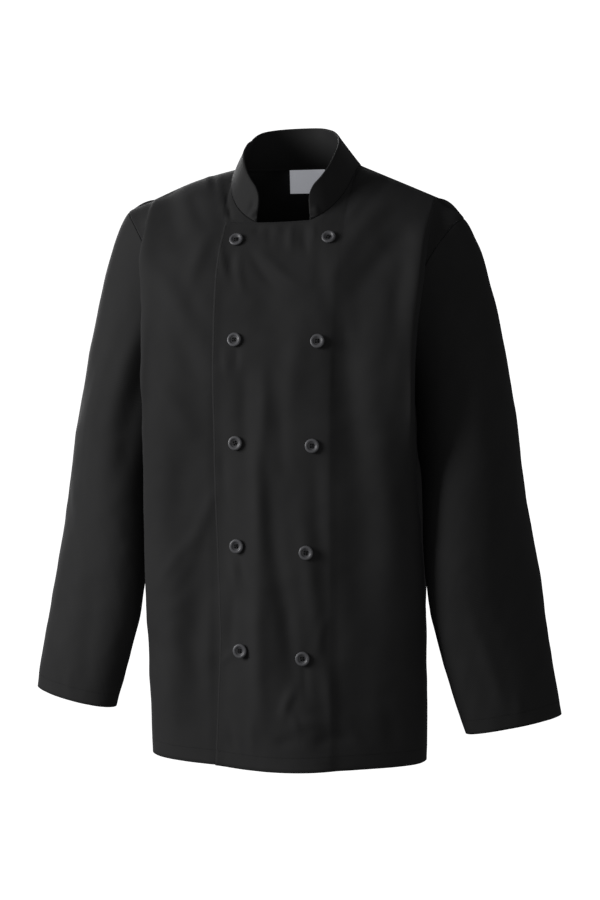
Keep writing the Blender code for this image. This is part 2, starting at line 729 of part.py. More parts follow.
# ---------------------------------------------------------------- buttons
def button_mesh():
    """A turned disc with a raised rim, a shallow dish and four sewing holes."""
    bm = bmesh.new()
    inner = BUTTON_R - BUTTON_RIM
    outline = (
        (0.0, 0.0),
        (BUTTON_R - 0.0012, 0.0),
        (BUTTON_R, BUTTON_THICK * 0.45),
        (BUTTON_R - 0.0005, BUTTON_THICK),
        (inner, BUTTON_THICK),
        (inner - 0.0008, BUTTON_THICK - BUTTON_DISH),
        (0.0, BUTTON_THICK - BUTTON_DISH),
    )
    rings = []
    for radius, height in outline[1:-1]:
        ring = []
        for i in range(BUTTON_SIDES):
            angle = 2.0 * math.pi * i / BUTTON_SIDES
            ring.append(bm.verts.new((radius * math.cos(angle), radius * math.sin(angle), height)))
        rings.append(ring)
    for low, high in zip(rings, rings[1:]):
        for i in range(BUTTON_SIDES):
            n = (i + 1) % BUTTON_SIDES
            bm.faces.new((low[i], low[n], high[n], high[i])).smooth = True
    bm.faces.new(rings[0][::-1])
    bm.faces.new(rings[-1])
    mesh = bpy.data.meshes.new("button")
    bm.to_mesh(mesh)
    bm.free()
    return mesh


def front_surface(x, z):
    """The lapping front's outer surface and its normal at a place seen from the front."""
    def spot(px, pz):
        if pz >= UNDERARM_Z:
            point = front_point_at(abs(px), pz)
            point.x = px
        else:
            point = section_point(abs(px) / LAP, pz)
            point.x = px
        return point
    step = 0.004
    across = spot(x + step, z) - spot(x - step, z)
    up = spot(x, z + step) - spot(x, z - step)
    normal = across.cross(up).normalized()
    out = fold_push("front", x, z) + (CLOTH + LAYERS) / 2.0
    return spot(x, z) + normal * out, normal


def highest_under(cloth, point, turned, normal):
    """How far the cloth stands above the point, at its highest under a button."""
    highest = -0.01
    for ring in range(4):
        for i in range(12):
            angle = 2.0 * math.pi * i / 12
            radius = BUTTON_R * ring / 3.0
            spot = turned @ Vector((radius * math.cos(angle), radius * math.sin(angle), 0.0))
            start = point + spot + normal * 0.02
            hit = cloth.ray_cast(start, -normal)
            if hit[0] is not None:
                highest = max(highest, 0.02 - hit[3])
    return highest


def build_buttons(front):
    """Ten buttons, seated just off the lapping front, with their holes cut."""
    cloth = BVHTree.FromPolygons(
        [v.co.copy() for v in front.data.vertices],
        [tuple(face.vertices) for face in front.data.polygons])
    cutter_bm = bmesh.new()
    for k in range(4):
        angle = math.pi / 4.0 + k * math.pi / 2.0
        place = Matrix.Translation((
            BUTTON_HOLE_OUT * math.cos(angle),
            BUTTON_HOLE_OUT * math.sin(angle),
            BUTTON_THICK / 2.0,
        ))
        bmesh.ops.create_cone(
            cutter_bm, cap_ends=True, segments=6, radius1=BUTTON_HOLE_R,
            radius2=BUTTON_HOLE_R, depth=BUTTON_THICK * 2.0, matrix=place)
    cutter_mesh = bpy.data.meshes.new("button_holes")
    cutter_bm.to_mesh(cutter_mesh)
    cutter_bm.free()
    shared = button_mesh()
    for row in BUTTON_PLACE_ROWS:
        spot = dict(zip(BUTTON_PLACE_COLUMNS, row))
        point, normal = front_surface(spot["x"], spot["z"])
        button = add_object(spot["name"], shared.copy(), BLACK_BUTTON, 0.35)
        turned = Vector((0.0, 0.0, 1.0)).rotation_difference(normal).to_matrix().to_4x4()
        seat = highest_under(cloth, point, turned, normal)
        button.matrix_world = Matrix.Translation(point + normal * (seat + BUTTON_LIFT)) @ turned
        holes = bpy.data.objects.new(spot["name"] + "_holes", cutter_mesh)
        bpy.context.scene.collection.objects.link(holes)
        holes.matrix_world = button.matrix_world
        holes.hide_render = True
        holes.display_type = "WIRE"
        cut = button.modifiers.new("holes", "BOOLEAN")
        cut.operation = "DIFFERENCE"
        cut.object = holes
        button.data.set_sharp_from_angle(angle=math.radians(40.0))


def main():
    """Clear the scene and build every piece."""
    for old in list(bpy.data.objects):
        bpy.data.objects.remove(old, do_unlink=True)
    back_points, back_lifts = build_back()
    lapping = build_front("front_left", 1.0)
    build_front("front_right", -1.0)
    build_sleeve("sleeve_left", 1.0)
    build_sleeve("sleeve_right", -1.0)
    build_collar()
    build_label(back_points, back_lifts)
    build_buttons(lapping)


main()
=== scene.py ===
import math
import bpy
import numpy as np
from mathutils import Matrix, Vector
from mathutils.bvhtree import BVHTree


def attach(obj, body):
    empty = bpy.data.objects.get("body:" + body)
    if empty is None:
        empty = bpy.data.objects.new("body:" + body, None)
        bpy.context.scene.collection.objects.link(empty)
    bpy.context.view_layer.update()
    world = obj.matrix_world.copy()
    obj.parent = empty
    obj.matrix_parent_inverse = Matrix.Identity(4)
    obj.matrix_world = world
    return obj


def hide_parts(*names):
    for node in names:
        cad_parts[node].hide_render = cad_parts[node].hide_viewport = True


# A double-breasted chef jacket, filled out as worn. Metres, +Z up, front towards -Y, +X the
# wearer's left; the origin is the middle of the neck at shoulder height.
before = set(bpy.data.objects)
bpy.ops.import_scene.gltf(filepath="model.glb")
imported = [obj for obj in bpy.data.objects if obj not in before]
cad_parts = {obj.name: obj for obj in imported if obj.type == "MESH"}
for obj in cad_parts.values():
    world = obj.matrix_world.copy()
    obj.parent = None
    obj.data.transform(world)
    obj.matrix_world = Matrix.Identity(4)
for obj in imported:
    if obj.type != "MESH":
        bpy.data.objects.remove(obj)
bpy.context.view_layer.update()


# ------------------------------------------------------------------ the cloth itself
# Black twill of polyester and cotton, about 240 g a square metre: fine diagonal ribs, a
# matt face with a faint sheen, pressed flat along its turned and stitched edges.
class Wire:
    """One output of a shader node, used in Python expressions that add Math nodes."""

    def __init__(self, tree, socket):
        self.tree = tree
        self.socket = socket

    def math(self, operation, *values):
        """A Math node on this value and up to two more."""
        return add_node(self.tree, "ShaderNodeMath", {"operation": operation}, [self, *values])

    def __add__(self, other):
        return self.math("ADD", other)

    def __sub__(self, other):
        return self.math("SUBTRACT", other)

    def __rsub__(self, other):
        return add_node(self.tree, "ShaderNodeMath", {"operation": "SUBTRACT"}, [other, self])

    def __mul__(self, other):
        return self.math("MULTIPLY", other)

    def __truediv__(self, other):
        return self.math("DIVIDE", other)

    def __rtruediv__(self, other):
        return add_node(self.tree, "ShaderNodeMath", {"operation": "DIVIDE"}, [other, self])

    __radd__ = __add__
    __rmul__ = __mul__


def add_node(tree, kind, settings, values, output=0):
    """A node of any kind: its settings first, then values or links for its sockets."""
    node = tree.nodes.new(kind)
    for name, value in settings.items():
        setattr(node, name, value)
    pairs = values.items() if isinstance(values, dict) else enumerate(values)
    for key, value in pairs:
        if isinstance(value, Wire):
            tree.links.new(value.socket, node.inputs[key])
        else:
            node.inputs[key].default_value = value
    return Wire(tree, node.outputs[output])


def new_material(name, **constants):
    """A material with its Principled shader's plain sockets set, and its node tree."""
    material = bpy.data.materials.new(name)
    material.use_nodes = True
    shader = material.node_tree.nodes["Principled BSDF"]
    for key, value in constants.items():
        shader.inputs[key.replace("_", " ")].default_value = value
    return material, material.node_tree


def uv_place(tree, layer):
    """A UV layer in metres: the whole of it, then its two parts."""
    place = add_node(tree, "ShaderNodeUVMap", {"uv_map": layer}, {})
    first = add_node(tree, "ShaderNodeSeparateXYZ", {}, [place])
    return place, first, Wire(tree, first.socket.node.outputs[1])


def noise(tree, place, scale, detail, **more):
    """Cloudy noise from 0 to 1 at a place."""
    return add_node(tree, "ShaderNodeTexNoise", {}, {
        "Vector": place, "Scale": scale, "Detail": detail, **more})


def wave(value, pitch):
    """A sine along a value in metres, from -1 to 1, once every pitch."""
    return (value * (2.0 * math.pi / pitch)).math("SINE")


def finish_surface(tree, shade, dark, light, rough, height=None):
    """Link what varies: the colour between two, the roughness and the relief in metres."""
    colour = add_node(tree, "ShaderNodeMix", {"data_type": "RGBA"}, {
        "Factor": shade, "A": dark, "B": light}, "Result")
    inputs = tree.nodes["Principled BSDF"].inputs
    tree.links.new(colour.socket, inputs["Base Color"])
    tree.links.new(rough.socket, inputs["Roughness"])
    if height is not None:
        bump = add_node(tree, "ShaderNodeBump", {}, {
            "Height": height, "Strength": 1.0, "Distance": 1.0})
        tree.links.new(bump.socket, inputs["Normal"])


TWILL_DARK = (0.0126, 0.0126, 0.0128, 1.0)
TWILL_LIGHT = (0.0336, 0.0334, 0.0340, 1.0)
LEAN_ACROSS = 0.80        # how far the ribs lean: their run across and along the cloth
LEAN_ALONG = 0.60
RIB_PITCH = 0.0010        # from one twill rib to the next, across them
RIB_HEIGHT = 0.000018
THREAD_PITCH = 0.0006
FUZZ_HEIGHT = 0.00002
CRUMPLE_HEIGHT = 0.0007   # soft unevenness that pressing leaves, over a few centimetres
GROOVE_HALF = 0.0009      # the dent along a row of stitches
GROOVE_DEPTH = 0.00007
PUCKER_PITCH = 0.0065     # the dent's small puckers, which lean too
PUCKER_HEIGHT = 0.00004
PUCKER_LEAN = 0.9
PUCKER_STRAY = 0.004


def twill_material():
    """Twill ribs, thread fuzz and soft crumples, with a groove along the stitched edges that is
    also darkened with painted shade.
    """
    material, tree = new_material(
        "black_twill", Sheen_Weight=0.02, Sheen_Roughness=0.5, Specular_IOR_Level=0.24,
        Sheen_Tint=(0.85, 0.88, 1.0, 1.0))
    place, across, along = uv_place(tree, "cloth")
    ribs = wave(across * LEAN_ACROSS + along * LEAN_ALONG, RIB_PITCH) * 0.5 + 0.5
    threads = wave(along * LEAN_ACROSS - across * LEAN_ALONG, THREAD_PITCH) * 0.5 + 0.5
    weave = ribs * (threads * 0.4 + 0.6)
    fuzz = noise(tree, place, 1400.0, 2.0)
    blotch = noise(tree, place, 22.0, 4.0)
    crumple = noise(tree, place, 13.0, 3.0, Roughness=0.42, Distortion=0.5)
    beyond = add_node(
        tree, "ShaderNodeAttribute", {"attribute_name": "beyond_stitch"}, {}, "Fac")
    groove = ((beyond / GROOVE_HALF).math("POWER", 2.0) * -1.0).math("EXPONENT")
    puckers = wave(across + along * PUCKER_LEAN + blotch * PUCKER_STRAY, PUCKER_PITCH)
    # the groove term darkens the colour in the dent: painted shade
    shade = weave * 0.34 + fuzz * 0.30 + blotch * 0.50 - groove * 0.12
    height = (
        weave * RIB_HEIGHT + fuzz * FUZZ_HEIGHT + crumple * CRUMPLE_HEIGHT
        - groove * GROOVE_DEPTH + groove * puckers * PUCKER_HEIGHT)
    rough = 0.72 + fuzz * 0.08 + blotch * 0.10
    finish_surface(tree, shade, TWILL_DARK, TWILL_LIGHT, rough, height)
    return material


TWILL = twill_material()
CLOTH = 0.0016            # a turned edge of the cloth
EDGE_PULL = 0.35          # how far an edge's two faces draw back to round it, by thickness
SEAM = 0.0004             # width of the valley where two pieces are sewn


def unit(vectors):
    """Vectors at length 1."""
    return vectors / np.maximum(np.linalg.norm(vectors, axis=-1, keepdims=True), 1e-9)


def grid_normals(points, wrap=False):
    """Normals of a grid of points: across times up."""
    if wrap:
        across = np.roll(points, -1, axis=1) - np.roll(points, 1, axis=1)
    else:
        across = np.gradient(points, axis=1)
    return unit(np.cross(across, np.gradient(points, axis=0)))


def run_along(points, axis):
    """Distance along a grid's rows or columns, from its first line."""
    steps = np.linalg.norm(np.diff(points, axis=axis), axis=2)
    first = np.zeros_like(steps[:1]) if axis == 0 else np.zeros_like(steps[:, :1])
    return np.concatenate([first, np.cumsum(steps, axis=axis)], axis=axis)


def run_back(points, axis):
    """Distance along a grid's rows or columns, back from its last line."""
    return np.flip(run_along(np.flip(points, axis), axis), axis)


def in_scene(name, data):
    """A new object of the scene."""
    made = bpy.data.objects.new(name, data)
    bpy.context.scene.collection.objects.link(made)
    return made


SEAM_TURN = (             # a sewn edge in metres: past the edge and inwards, outside and inside
    (-0.0020, 0.0000, -0.0020, 1.0),
    (-0.0005, 0.0001, -0.0010, 1.0),
    (0.0000, 0.0006, -0.0007, 1.1),
    (0.0002, 0.0042, -0.0005, 2.6),
)


def turned_in(outer, inner, stitch, ends):
    """The two faces of a cloth with the seams at the named ends turned to the inside."""
    for end in ends:
        if end in ("left", "right"):
            outer, inner, stitch = outer.transpose(1, 0, 2), inner.transpose(1, 0, 2), stitch.T
        if end in ("bottom", "left"):
            outer, inner, stitch = outer[::-1], inner[::-1], stitch[::-1]
        edge, depth = outer[-1], inner[-1] - outer[-1]
        past = unit(outer[-1] - outer[-2])
        inwards = unit(depth)
        thick = np.linalg.norm(depth, axis=-1, keepdims=True)
        outside = [edge + past * out + inwards * low for out, low, _, _ in SEAM_TURN]
        inside = [edge + past * out + inwards * thick * low for _, _, out, low in SEAM_TURN]
        outer = np.concatenate([outer[:-1], outside])
        inner = np.concatenate([inner[:-1], inside])
        stitch = np.concatenate([stitch[:-1], np.repeat(stitch[-1:], len(SEAM_TURN), axis=0)])
        if end in ("bottom", "left"):
            outer, inner, stitch = outer[::-1], inner[::-1], stitch[::-1]
        if end in ("left", "right"):
            outer, inner, stitch = outer.transpose(1, 0, 2), inner.transpose(1, 0, 2), stitch.T
    return outer, inner, stitch


def cloth_piece(name, points, lifts, thick, stitch, material, seams=(), wrap=False, flip=False):
    """A thin closed shell on a grid of points, its edges turned round, with UVs in metres."""
    points, inner, stitch = turned_in(points, points - lifts * thick, stitch, seams)
    rows, cols = points.shape[:2]
    count = rows * cols
    skin, back = points.copy(), inner.copy()
    for grid in (skin, back):
        pull = EDGE_PULL * thick
        grid[0] += unit(grid[1] - grid[0]) * pull
        grid[-1] += unit(grid[-2] - grid[-1]) * pull
        if not wrap:
            grid[:, 0] += unit(grid[:, 1] - grid[:, 0]) * pull
            grid[:, -1] += unit(grid[:, -2] - grid[:, -1]) * pull
    numbers = np.arange(count).reshape(rows, cols)
    if wrap:
        edges = [numbers[0, :], numbers[-1, ::-1]]
    else:
        edges = [np.concatenate([
            numbers[0, :-1], numbers[:-1, -1], numbers[-1, :0:-1], numbers[:0:-1, 0]])]
    rim = np.concatenate(edges)
    middle = ((points + inner) / 2.0).reshape(-1, 3)[rim]
    verts = np.concatenate([skin.reshape(-1, 3), back.reshape(-1, 3), middle])
    ends = np.roll(numbers, -1, axis=1) if wrap else numbers[:, 1:]
    starts = numbers if wrap else numbers[:, :-1]
    quads = np.stack([starts[:-1], ends[:-1], ends[1:], starts[1:]], axis=-1).reshape(-1, 4)
    faces = [quads, quads[:, ::-1] + count]
    begin = 2 * count
    for low in edges:
        mid = np.arange(begin, begin + len(low))
        begin += len(low)
        low_next, mid_next = np.roll(low, -1), np.roll(mid, -1)
        faces.append(np.stack([low, mid, mid_next, low_next], axis=-1))
        faces.append(np.stack([mid, low + count, low_next + count, mid_next], axis=-1))
    faces = np.concatenate(faces)
    if flip:
        faces = faces[:, ::-1]
    mesh = bpy.data.meshes.new(name)
    mesh.from_pydata(verts.tolist(), [], faces.tolist())
    mesh.polygons.foreach_set("use_smooth", [True] * len(mesh.polygons))
    places = np.stack([run_along(points, 1), run_along(points, 0)], axis=-1).reshape(-1, 2)
    corners = np.empty(len(mesh.loops), dtype=np.int32)
    mesh.loops.foreach_get("vertex_index", corners)
    places = np.concatenate([places, places, places[rim]])[corners]
    if wrap:
        carry_round(mesh, places, points)
    layer = mesh.uv_layers.new(name="cloth")
    layer.data.foreach_set("uv", places.astype(np.float32).ravel())
    beyond = mesh.attributes.new("beyond_stitch", "FLOAT", "POINT")
    far = stitch.reshape(-1)
    beyond.data.foreach_set("value", np.concatenate([far, far, far[rim]]).astype(np.float32))
    mesh.materials.append(material)
    mesh.validate()
    return in_scene(name, mesh)


def carry_round(mesh, places, points):
    """Let a tube's UVs go on round past its last column, instead of back to 0."""
    girth = run_along(np.concatenate([points, points[:, :1]], axis=1), 1)[:, -1].max()
    starts = np.empty(len(mesh.polygons), dtype=np.int32)
    mesh.polygons.foreach_get("loop_start", starts)
    for corner in range(4):
        widest = np.maximum.reduce([places[starts + k, 0] for k in range(4)])
        behind = starts[widest - places[starts + corner, 0] > girth / 2.0] + corner
        places[behind, 0] += girth


# ------------------------------------------------------------------ the two fronts
# Each front is one piece of twill from the lap edge round to the side seam, and the wearer's
# left laps 15 cm over the right. Below the underarm it follows level sections of a general
# figure, and above it columns bowed up to the neck seam or the shoulder seam.
LAP = 0.0735              # each front reaches this far past the centre line
LAYER = 0.0014            # half the height between the two lapped fronts
COLLAR_END = 0.0345       # half the gap between the collar's front ends
NECK_HALF = 0.0805        # half the neck's width at the shoulder seams
NECK_SIDE_Z = 0.001       # the neck seam's height and place there
NECK_SIDE_Y = 0.018
NECK_DROP = 0.0886        # how far the front neck lies below its sides
NECK_BACK_Y = 0.072
NECK_BACK_RISE = 0.0045
NECK_ROUND = 0.90         # below 1 the neck seam's front corners are fuller than an ellipse
NECK_Q = 1.08             # place across a panel where the neck meets the shoulder seam
RIDGE_TOP = np.array([0.184, -0.012, -0.0395])     # top of the fold ridge, on the right
RIDGE_DROP = 0.0065       # how much lower it is on the left
RIGHT_BOW = 0.004         # rise of the right shoulder seam beside the neck
SHOULDER = np.array([0.2175, -0.015, -0.056])      # outer end of the shoulder seam
LEFT_DROP = 0.018         # the left shoulder hangs lower
UNDERARM_Z = -0.290
HEM_Z = -0.743            # hem at the side seams
HEM_DIP = 0.012           # how much lower it hangs in the middle
HEM_TILT = 0.003          # on the left than on the right
HEM_BACK_DROP = 0.008     # and across the back
ARMHOLE_FRONT = 0.062     # the armhole's reach forward of its middle
ARMHOLE_BACK = 0.058      # and behind it
ARMHOLE_WAIST = 2.8       # how quickly the armhole leans in below
FRONT_BOW = 1.70          # exponents of the fronts' and the back's upward curve
BACK_BOW = 2.0
SECTION_SQUARE = 2.2      # exponent of a level section
ROWS_LOWER = 88
ROWS_UPPER = 60

# A place across a front or half the back is a number q: 0 centre line, 1 edge of the lap,
# 2 fold ridge, 3 side seam.
SEAM_COLUMNS = 26         # grid columns from the neck's side to the ridge, front and back
FRONT_SIDE_COLUMNS = 20   # and from the ridge to the side seam

# Level sections: height, front depth, ridge x and y, side x and y, back ridge x and y, rear.
SECTIONS = (
    (-0.760, 0.147, 0.171, -0.060, 0.156, 0.008, 0.156, 0.070, 0.118),
    (-0.650, 0.151, 0.173, -0.071, 0.155, 0.006, 0.156, 0.072, 0.119),
    (-0.550, 0.154, 0.174, -0.084, 0.154, 0.004, 0.156, 0.074, 0.120),
    (-0.450, 0.156, 0.173, -0.100, 0.153, 0.002, 0.156, 0.077, 0.122),
    (-0.370, 0.156, 0.171, -0.111, 0.152, 0.000, 0.157, 0.080, 0.124),
    (-0.290, 0.154, 0.172, -0.118, 0.150, 0.000, 0.157, 0.082, 0.125),
)


def mix(a, b, t):
    """a at t = 0, b at t = 1."""
    return a + (b - a) * t


def ease(t):
    """Smooth step from 0 to 1."""
    t = np.clip(t, 0.0, 1.0)
    return t * t * (3.0 - 2.0 * t)


def curve_between(start, leave, end, arrive, t):
    """Places on a smooth curve from start to end, by the directions it leaves and arrives."""
    return (
        start * (2 * t ** 3 - 3 * t ** 2 + 1) + leave * (t ** 3 - 2 * t ** 2 + t)
        + end * (3 * t ** 2 - 2 * t ** 3) + arrive * (t ** 3 - t ** 2))


def read_rows(rows, keys_at):
    """The columns of a table, read smoothly between its rows by the first column."""
    table = np.array(sorted(rows))
    keys = table[:, 0]
    last = len(keys) - 1
    low = np.maximum(np.arange(last + 1) - 1, 0)
    high = np.minimum(np.arange(last + 1) + 1, last)
    slopes = (table[high] - table[low]) / (keys[high] - keys[low])[:, None]
    at = np.clip(np.asarray(keys_at, dtype=float), keys[0], keys[-1])
    i = np.clip(np.searchsorted(keys, at, side="left") - 1, 0, last - 1)
    span = (keys[i + 1] - keys[i])[..., None]
    t = (at[..., None] - keys[i][..., None]) / span
    return curve_between(table[i], span * slopes[i], table[i + 1], span * slopes[i + 1], t)


def section_point(q, z, back=False):
    """Points of the level sections on the +X half; q is the place across a panel."""
    q, z = np.broadcast_arrays(np.asarray(q, dtype=float), np.asarray(z, dtype=float))
    row = read_rows(SECTIONS, z)
    half = row[..., 6] if back else row[..., 2]
    turn_y = row[..., 7] if back else row[..., 3]
    depth = row[..., 8] if back else -row[..., 1]
    power = SECTION_SQUARE / 2.0
    lap_turn = np.arcsin((LAP / half) ** power)
    near = np.arcsin(np.minimum(np.abs(q) * LAP / half, 1.0) ** power)
    beyond = mix(lap_turn, math.pi / 2.0, np.clip(q - 1.0, 0.0, 1.0))
    turn = np.where(np.abs(q) <= 1.0, near, beyond)
    x = half * np.maximum(np.sin(turn), 0.0) ** (1.0 / power)
    y = turn_y + (depth - turn_y) * np.maximum(np.cos(turn), 0.0) ** (1.0 / power)
    side = np.clip(q - 2.0, 0.0, 1.0)
    x = np.where(q > 2.0, mix(half, row[..., 4], ease(side)), x)
    y = np.where(q > 2.0, mix(turn_y, row[..., 5], side), y)
    return np.stack([np.copysign(x, q), y, z], axis=-1)


def front_at(x, z):
    """The upper front straight above a column of constant x."""
    q = np.where(x <= LAP, x / LAP, 1.0 + (x - LAP) / (RIDGE_TOP[0] - LAP))
    base_y = section_point(q, UNDERARM_Z)[..., 1]
    v = np.clip((z - UNDERARM_Z) / (NECK_SIDE_Z - UNDERARM_Z), 0.0, 1.0)
    bow = (1.0 - v ** FRONT_BOW) ** (1.0 / FRONT_BOW)
    x, y, z = np.broadcast_arrays(x, mix(NECK_SIDE_Y, base_y, bow), z)
    return np.stack([x, y, z], axis=-1)


NECK_FIRST = math.degrees(math.asin((COLLAR_END / NECK_HALF) ** (1.0 / NECK_ROUND)))
NECK_FRONT_DROP = NECK_DROP * math.sqrt(1.0 - (COLLAR_END / NECK_HALF) ** 2) / (
    math.cos(math.radians(NECK_FIRST)) ** NECK_ROUND)


def plain_neck_point(x):
    """The neck seam's front on the +X half as a plain ellipse, at x from the middle."""
    share = math.sqrt(max(1.0 - (x / NECK_HALF) ** 2, 0.0))
    return front_at(np.array(x), np.array(NECK_SIDE_Z - NECK_DROP * share))


def neck_point(turn):
    """The neck seam on the +X half, in degrees from the front round to the back."""
    angle = math.radians(turn)
    x = NECK_HALF * math.sin(angle)
    if turn <= 90.0:
        x = NECK_HALF * math.sin(angle) ** NECK_ROUND
        drop = NECK_FRONT_DROP * max(math.cos(angle), 0.0) ** NECK_ROUND
        return front_at(np.array(x), np.array(NECK_SIDE_Z - drop))
    back = -math.cos(angle)
    rise = NECK_BACK_RISE * back
    return np.array([x, mix(NECK_SIDE_Y, NECK_BACK_Y, back), NECK_SIDE_Z + rise])


def lowered(point, drop, side):
    """A point of the shoulder, which hangs lower on the left."""
    return point - np.array([0.0, 0.0, drop if side > 0 else 0.0])


def seam_top(q, side):
    """The shoulder seam from the neck through the fold ridge (2) to its end (3)."""
    ridge = lowered(RIDGE_TOP, RIDGE_DROP, side)
    if q <= 2.0:
        t = (q - NECK_Q) / (2.0 - NECK_Q)
        point = mix(np.array([NECK_HALF, NECK_SIDE_Y, NECK_SIDE_Z]), ridge, t)
        point[2] += RIGHT_BOW * math.sin(math.pi * t) if side < 0 else 0.0
        return point
    end = lowered(SHOULDER, LEFT_DROP, side)
    point = mix(ridge, end, q - 2.0)
    point[2] += 0.25 * (ridge[2] - end[2]) * math.sin(math.pi * (q - 2.0))
    return point


def armhole_point(turn, side):
    """The armhole on the +X half: turn 0 at the shoulder, 90 in front, 180 underneath."""
    top = lowered(SHOULDER, LEFT_DROP, side)
    low = section_point(3.0, UNDERARM_Z)
    angle = math.radians(turn)
    rise = (1.0 + math.cos(angle)) / 2.0
    reach = ARMHOLE_FRONT if turn <= 180.0 else ARMHOLE_BACK
    point = mix(low, top, rise)
    point[0] = mix(low[0], top[0], rise ** ARMHOLE_WAIST)
    point[1] -= reach * math.sin(angle)
    return point


ARMHOLE_LIFT = (0.55, 0.80, 0.83)      # outwards above, forwards in front, up on top
NECK_LIFT = (0.85, 0.95)               # outwards at the side, forwards in front
NECK_LIFT_UP = (0.22, 0.58)            # and upwards in front, and from the side on


def armhole_lift(turn):
    """Through-thickness direction that both sides of the armhole seam share."""
    angle = math.radians(turn)
    out, forwards, up = ARMHOLE_LIFT
    outwards = out * (1.0 - ease((min(turn, 360.0 - turn) - 90.0) / 90.0))
    return unit(np.array([outwards, -forwards * math.sin(angle), up * math.cos(angle)]))


def neck_lift(turn):
    """Through-thickness direction that the collar shares with the cloth below it."""
    angle = math.radians(turn)
    out, forwards = NECK_LIFT
    up = mix(*NECK_LIFT_UP, ease(turn / 90.0))
    return unit(np.array([out * math.sin(angle), -forwards * math.cos(angle), up]))


def seam_lift(q, side):
    """Through-thickness direction that the front and the back share at the shoulder."""
    run = seam_top(min(q + 0.05, 3.0), side) - seam_top(max(q - 0.05, NECK_Q), side)
    up = unit(np.array([-run[2], 0.0, run[0]]))
    if q <= NECK_Q + 0.01:
        return unit(up + neck_lift(90.0))
    return armhole_lift(0.0) if q >= 2.99 else up


NECK_TURNS = np.linspace(NECK_FIRST, 180.0, 600)
NECK_LINE = np.array([neck_point(turn) for turn in NECK_TURNS])
NECK_RUN = np.concatenate([[0.0], np.cumsum(np.linalg.norm(np.diff(NECK_LINE, axis=0), axis=1))])


def neck_run(turn):
    """Distance along the neck seam from the collar's end."""
    return float(np.interp(turn, NECK_TURNS, NECK_RUN))


def neck_steps(first, last, count):
    """Places on the neck seam at even distances, without the last."""
    runs = mix(neck_run(first), neck_run(last), np.arange(count) / count)
    return [("neck", float(turn)) for turn in np.interp(runs, NECK_RUN, NECK_TURNS)]


def base_x(kind, place):
    """Distance from the centre line of a lap or neck column, below the underarm."""
    if kind == "lap":
        return place
    side = neck_run(90.0)
    if place <= 90.0:
        return mix(COLLAR_END, NECK_HALF, neck_run(place) / side)
    return NECK_HALF * (neck_run(180.0) - neck_run(place)) / (neck_run(180.0) - side)


def place_q(kind, place):
    """A column's place in the level sections."""
    if kind in ("lap", "neck"):
        x = base_x(kind, place)
        return x / LAP if x <= LAP else mix(1.0, NECK_Q, (x - LAP) / (NECK_HALF - LAP))
    return place


TOP_SAG = 0.002           # of the fronts' straight top edge between the collar's ends


def top_edge_z(x):
    """Height of the fronts' straight top edge, which sags between the collar's ends."""
    front = NECK_SIDE_Z - NECK_DROP * math.sqrt(1.0 - (COLLAR_END / NECK_HALF) ** 2)
    middle, reach = (COLLAR_END - LAP) / 2.0, (COLLAR_END + LAP) / 2.0
    return front - TOP_SAG * (1.0 - ((x - middle) / reach) ** 2)


def column_points(kind, place, side, back):
    """One column of a panel, from the hem up to its top edge or seam."""
    q = place_q(kind, place)
    bow = BACK_BOW if back else FRONT_BOW
    hem = HEM_Z - HEM_DIP * (1.0 - ease(abs(q) / 3.0)) - side * HEM_TILT * q / 3.0
    hem -= HEM_BACK_DROP * ease((3.0 - abs(q)) / 0.7) if back else 0.0
    low = section_point(q, mix(hem, UNDERARM_Z, np.arange(ROWS_LOWER) / ROWS_LOWER), back)
    share = np.arange(ROWS_UPPER + 1) / ROWS_UPPER
    if kind in ("lap", "neck") and not back:
        top = (place, 0.0, top_edge_z(place)) if kind == "lap" else neck_point(place)
        rise = min((top[2] - UNDERARM_Z) / (NECK_SIDE_Z - UNDERARM_Z), 1.0)
        full = math.asin(rise ** (bow / 2.0))
        v = np.maximum(np.sin(full * share), 0.0) ** (2.0 / bow)
        x = mix(base_x(kind, place), top[0], share ** 1.5)
        high = front_at(np.abs(x), mix(UNDERARM_Z, NECK_SIDE_Z, v))
        high[:, 0] = x
        return np.concatenate([low, high])
    base = section_point(min(q, 2.0), UNDERARM_Z, back)
    top = neck_point(place) if kind == "neck" else seam_top(min(q, 2.0), side)
    v = np.sin(share * math.pi / 2.0) ** (2.0 / bow)
    c = np.maximum(np.cos(share * math.pi / 2.0), 0.0) ** (2.0 / bow)
    high = np.stack([
        mix(base[0], top[0], v), mix(top[1], base[1], c), mix(base[2], top[2], v)], axis=-1)
    if kind == "side":
        turns = 180.0 * (1.0 - share)
        edge = np.array([armhole_point(360.0 - turn if back else turn, side) for turn in turns])
        t = place - 2.0
        high[:, 0] = mix(high[:, 0], edge[:, 0], ease(t))
        high[:, 1:] = mix(high[:, 1:], edge[:, 1:], t)
        high[-1] = seam_top(place, side)
    return np.concatenate([low, high])


SOFTEN_FROM = -0.340      # the height where this starts, and over how much it comes in
SOFTEN_OVER = 0.12


def soften(points, column, reach, rounds):
    """Let the bend below the neck's corner fade: nearby points settle between neighbours."""
    far = points[:, :, 0] - points[:, column:column + 1, 0]
    weight = 0.5 * np.exp(-(far / reach) ** 2)
    weight *= ease((points[:, :, 2] - SOFTEN_FROM) / SOFTEN_OVER)
    weight[0] = weight[-1] = 0.0
    weight[:, 0] = weight[:, -1] = 0.0
    normals = grid_normals(points)
    for _ in range(rounds):
        mean = np.copy(points)
        mean[1:-1, 1:-1] = (
            points[:-2, 1:-1] + points[2:, 1:-1]
            + points[1:-1, :-2] + points[1:-1, 2:]) / 4.0
        step = np.sum((mean - points) * normals, axis=-1) * weight
        points += normals * step[..., None]


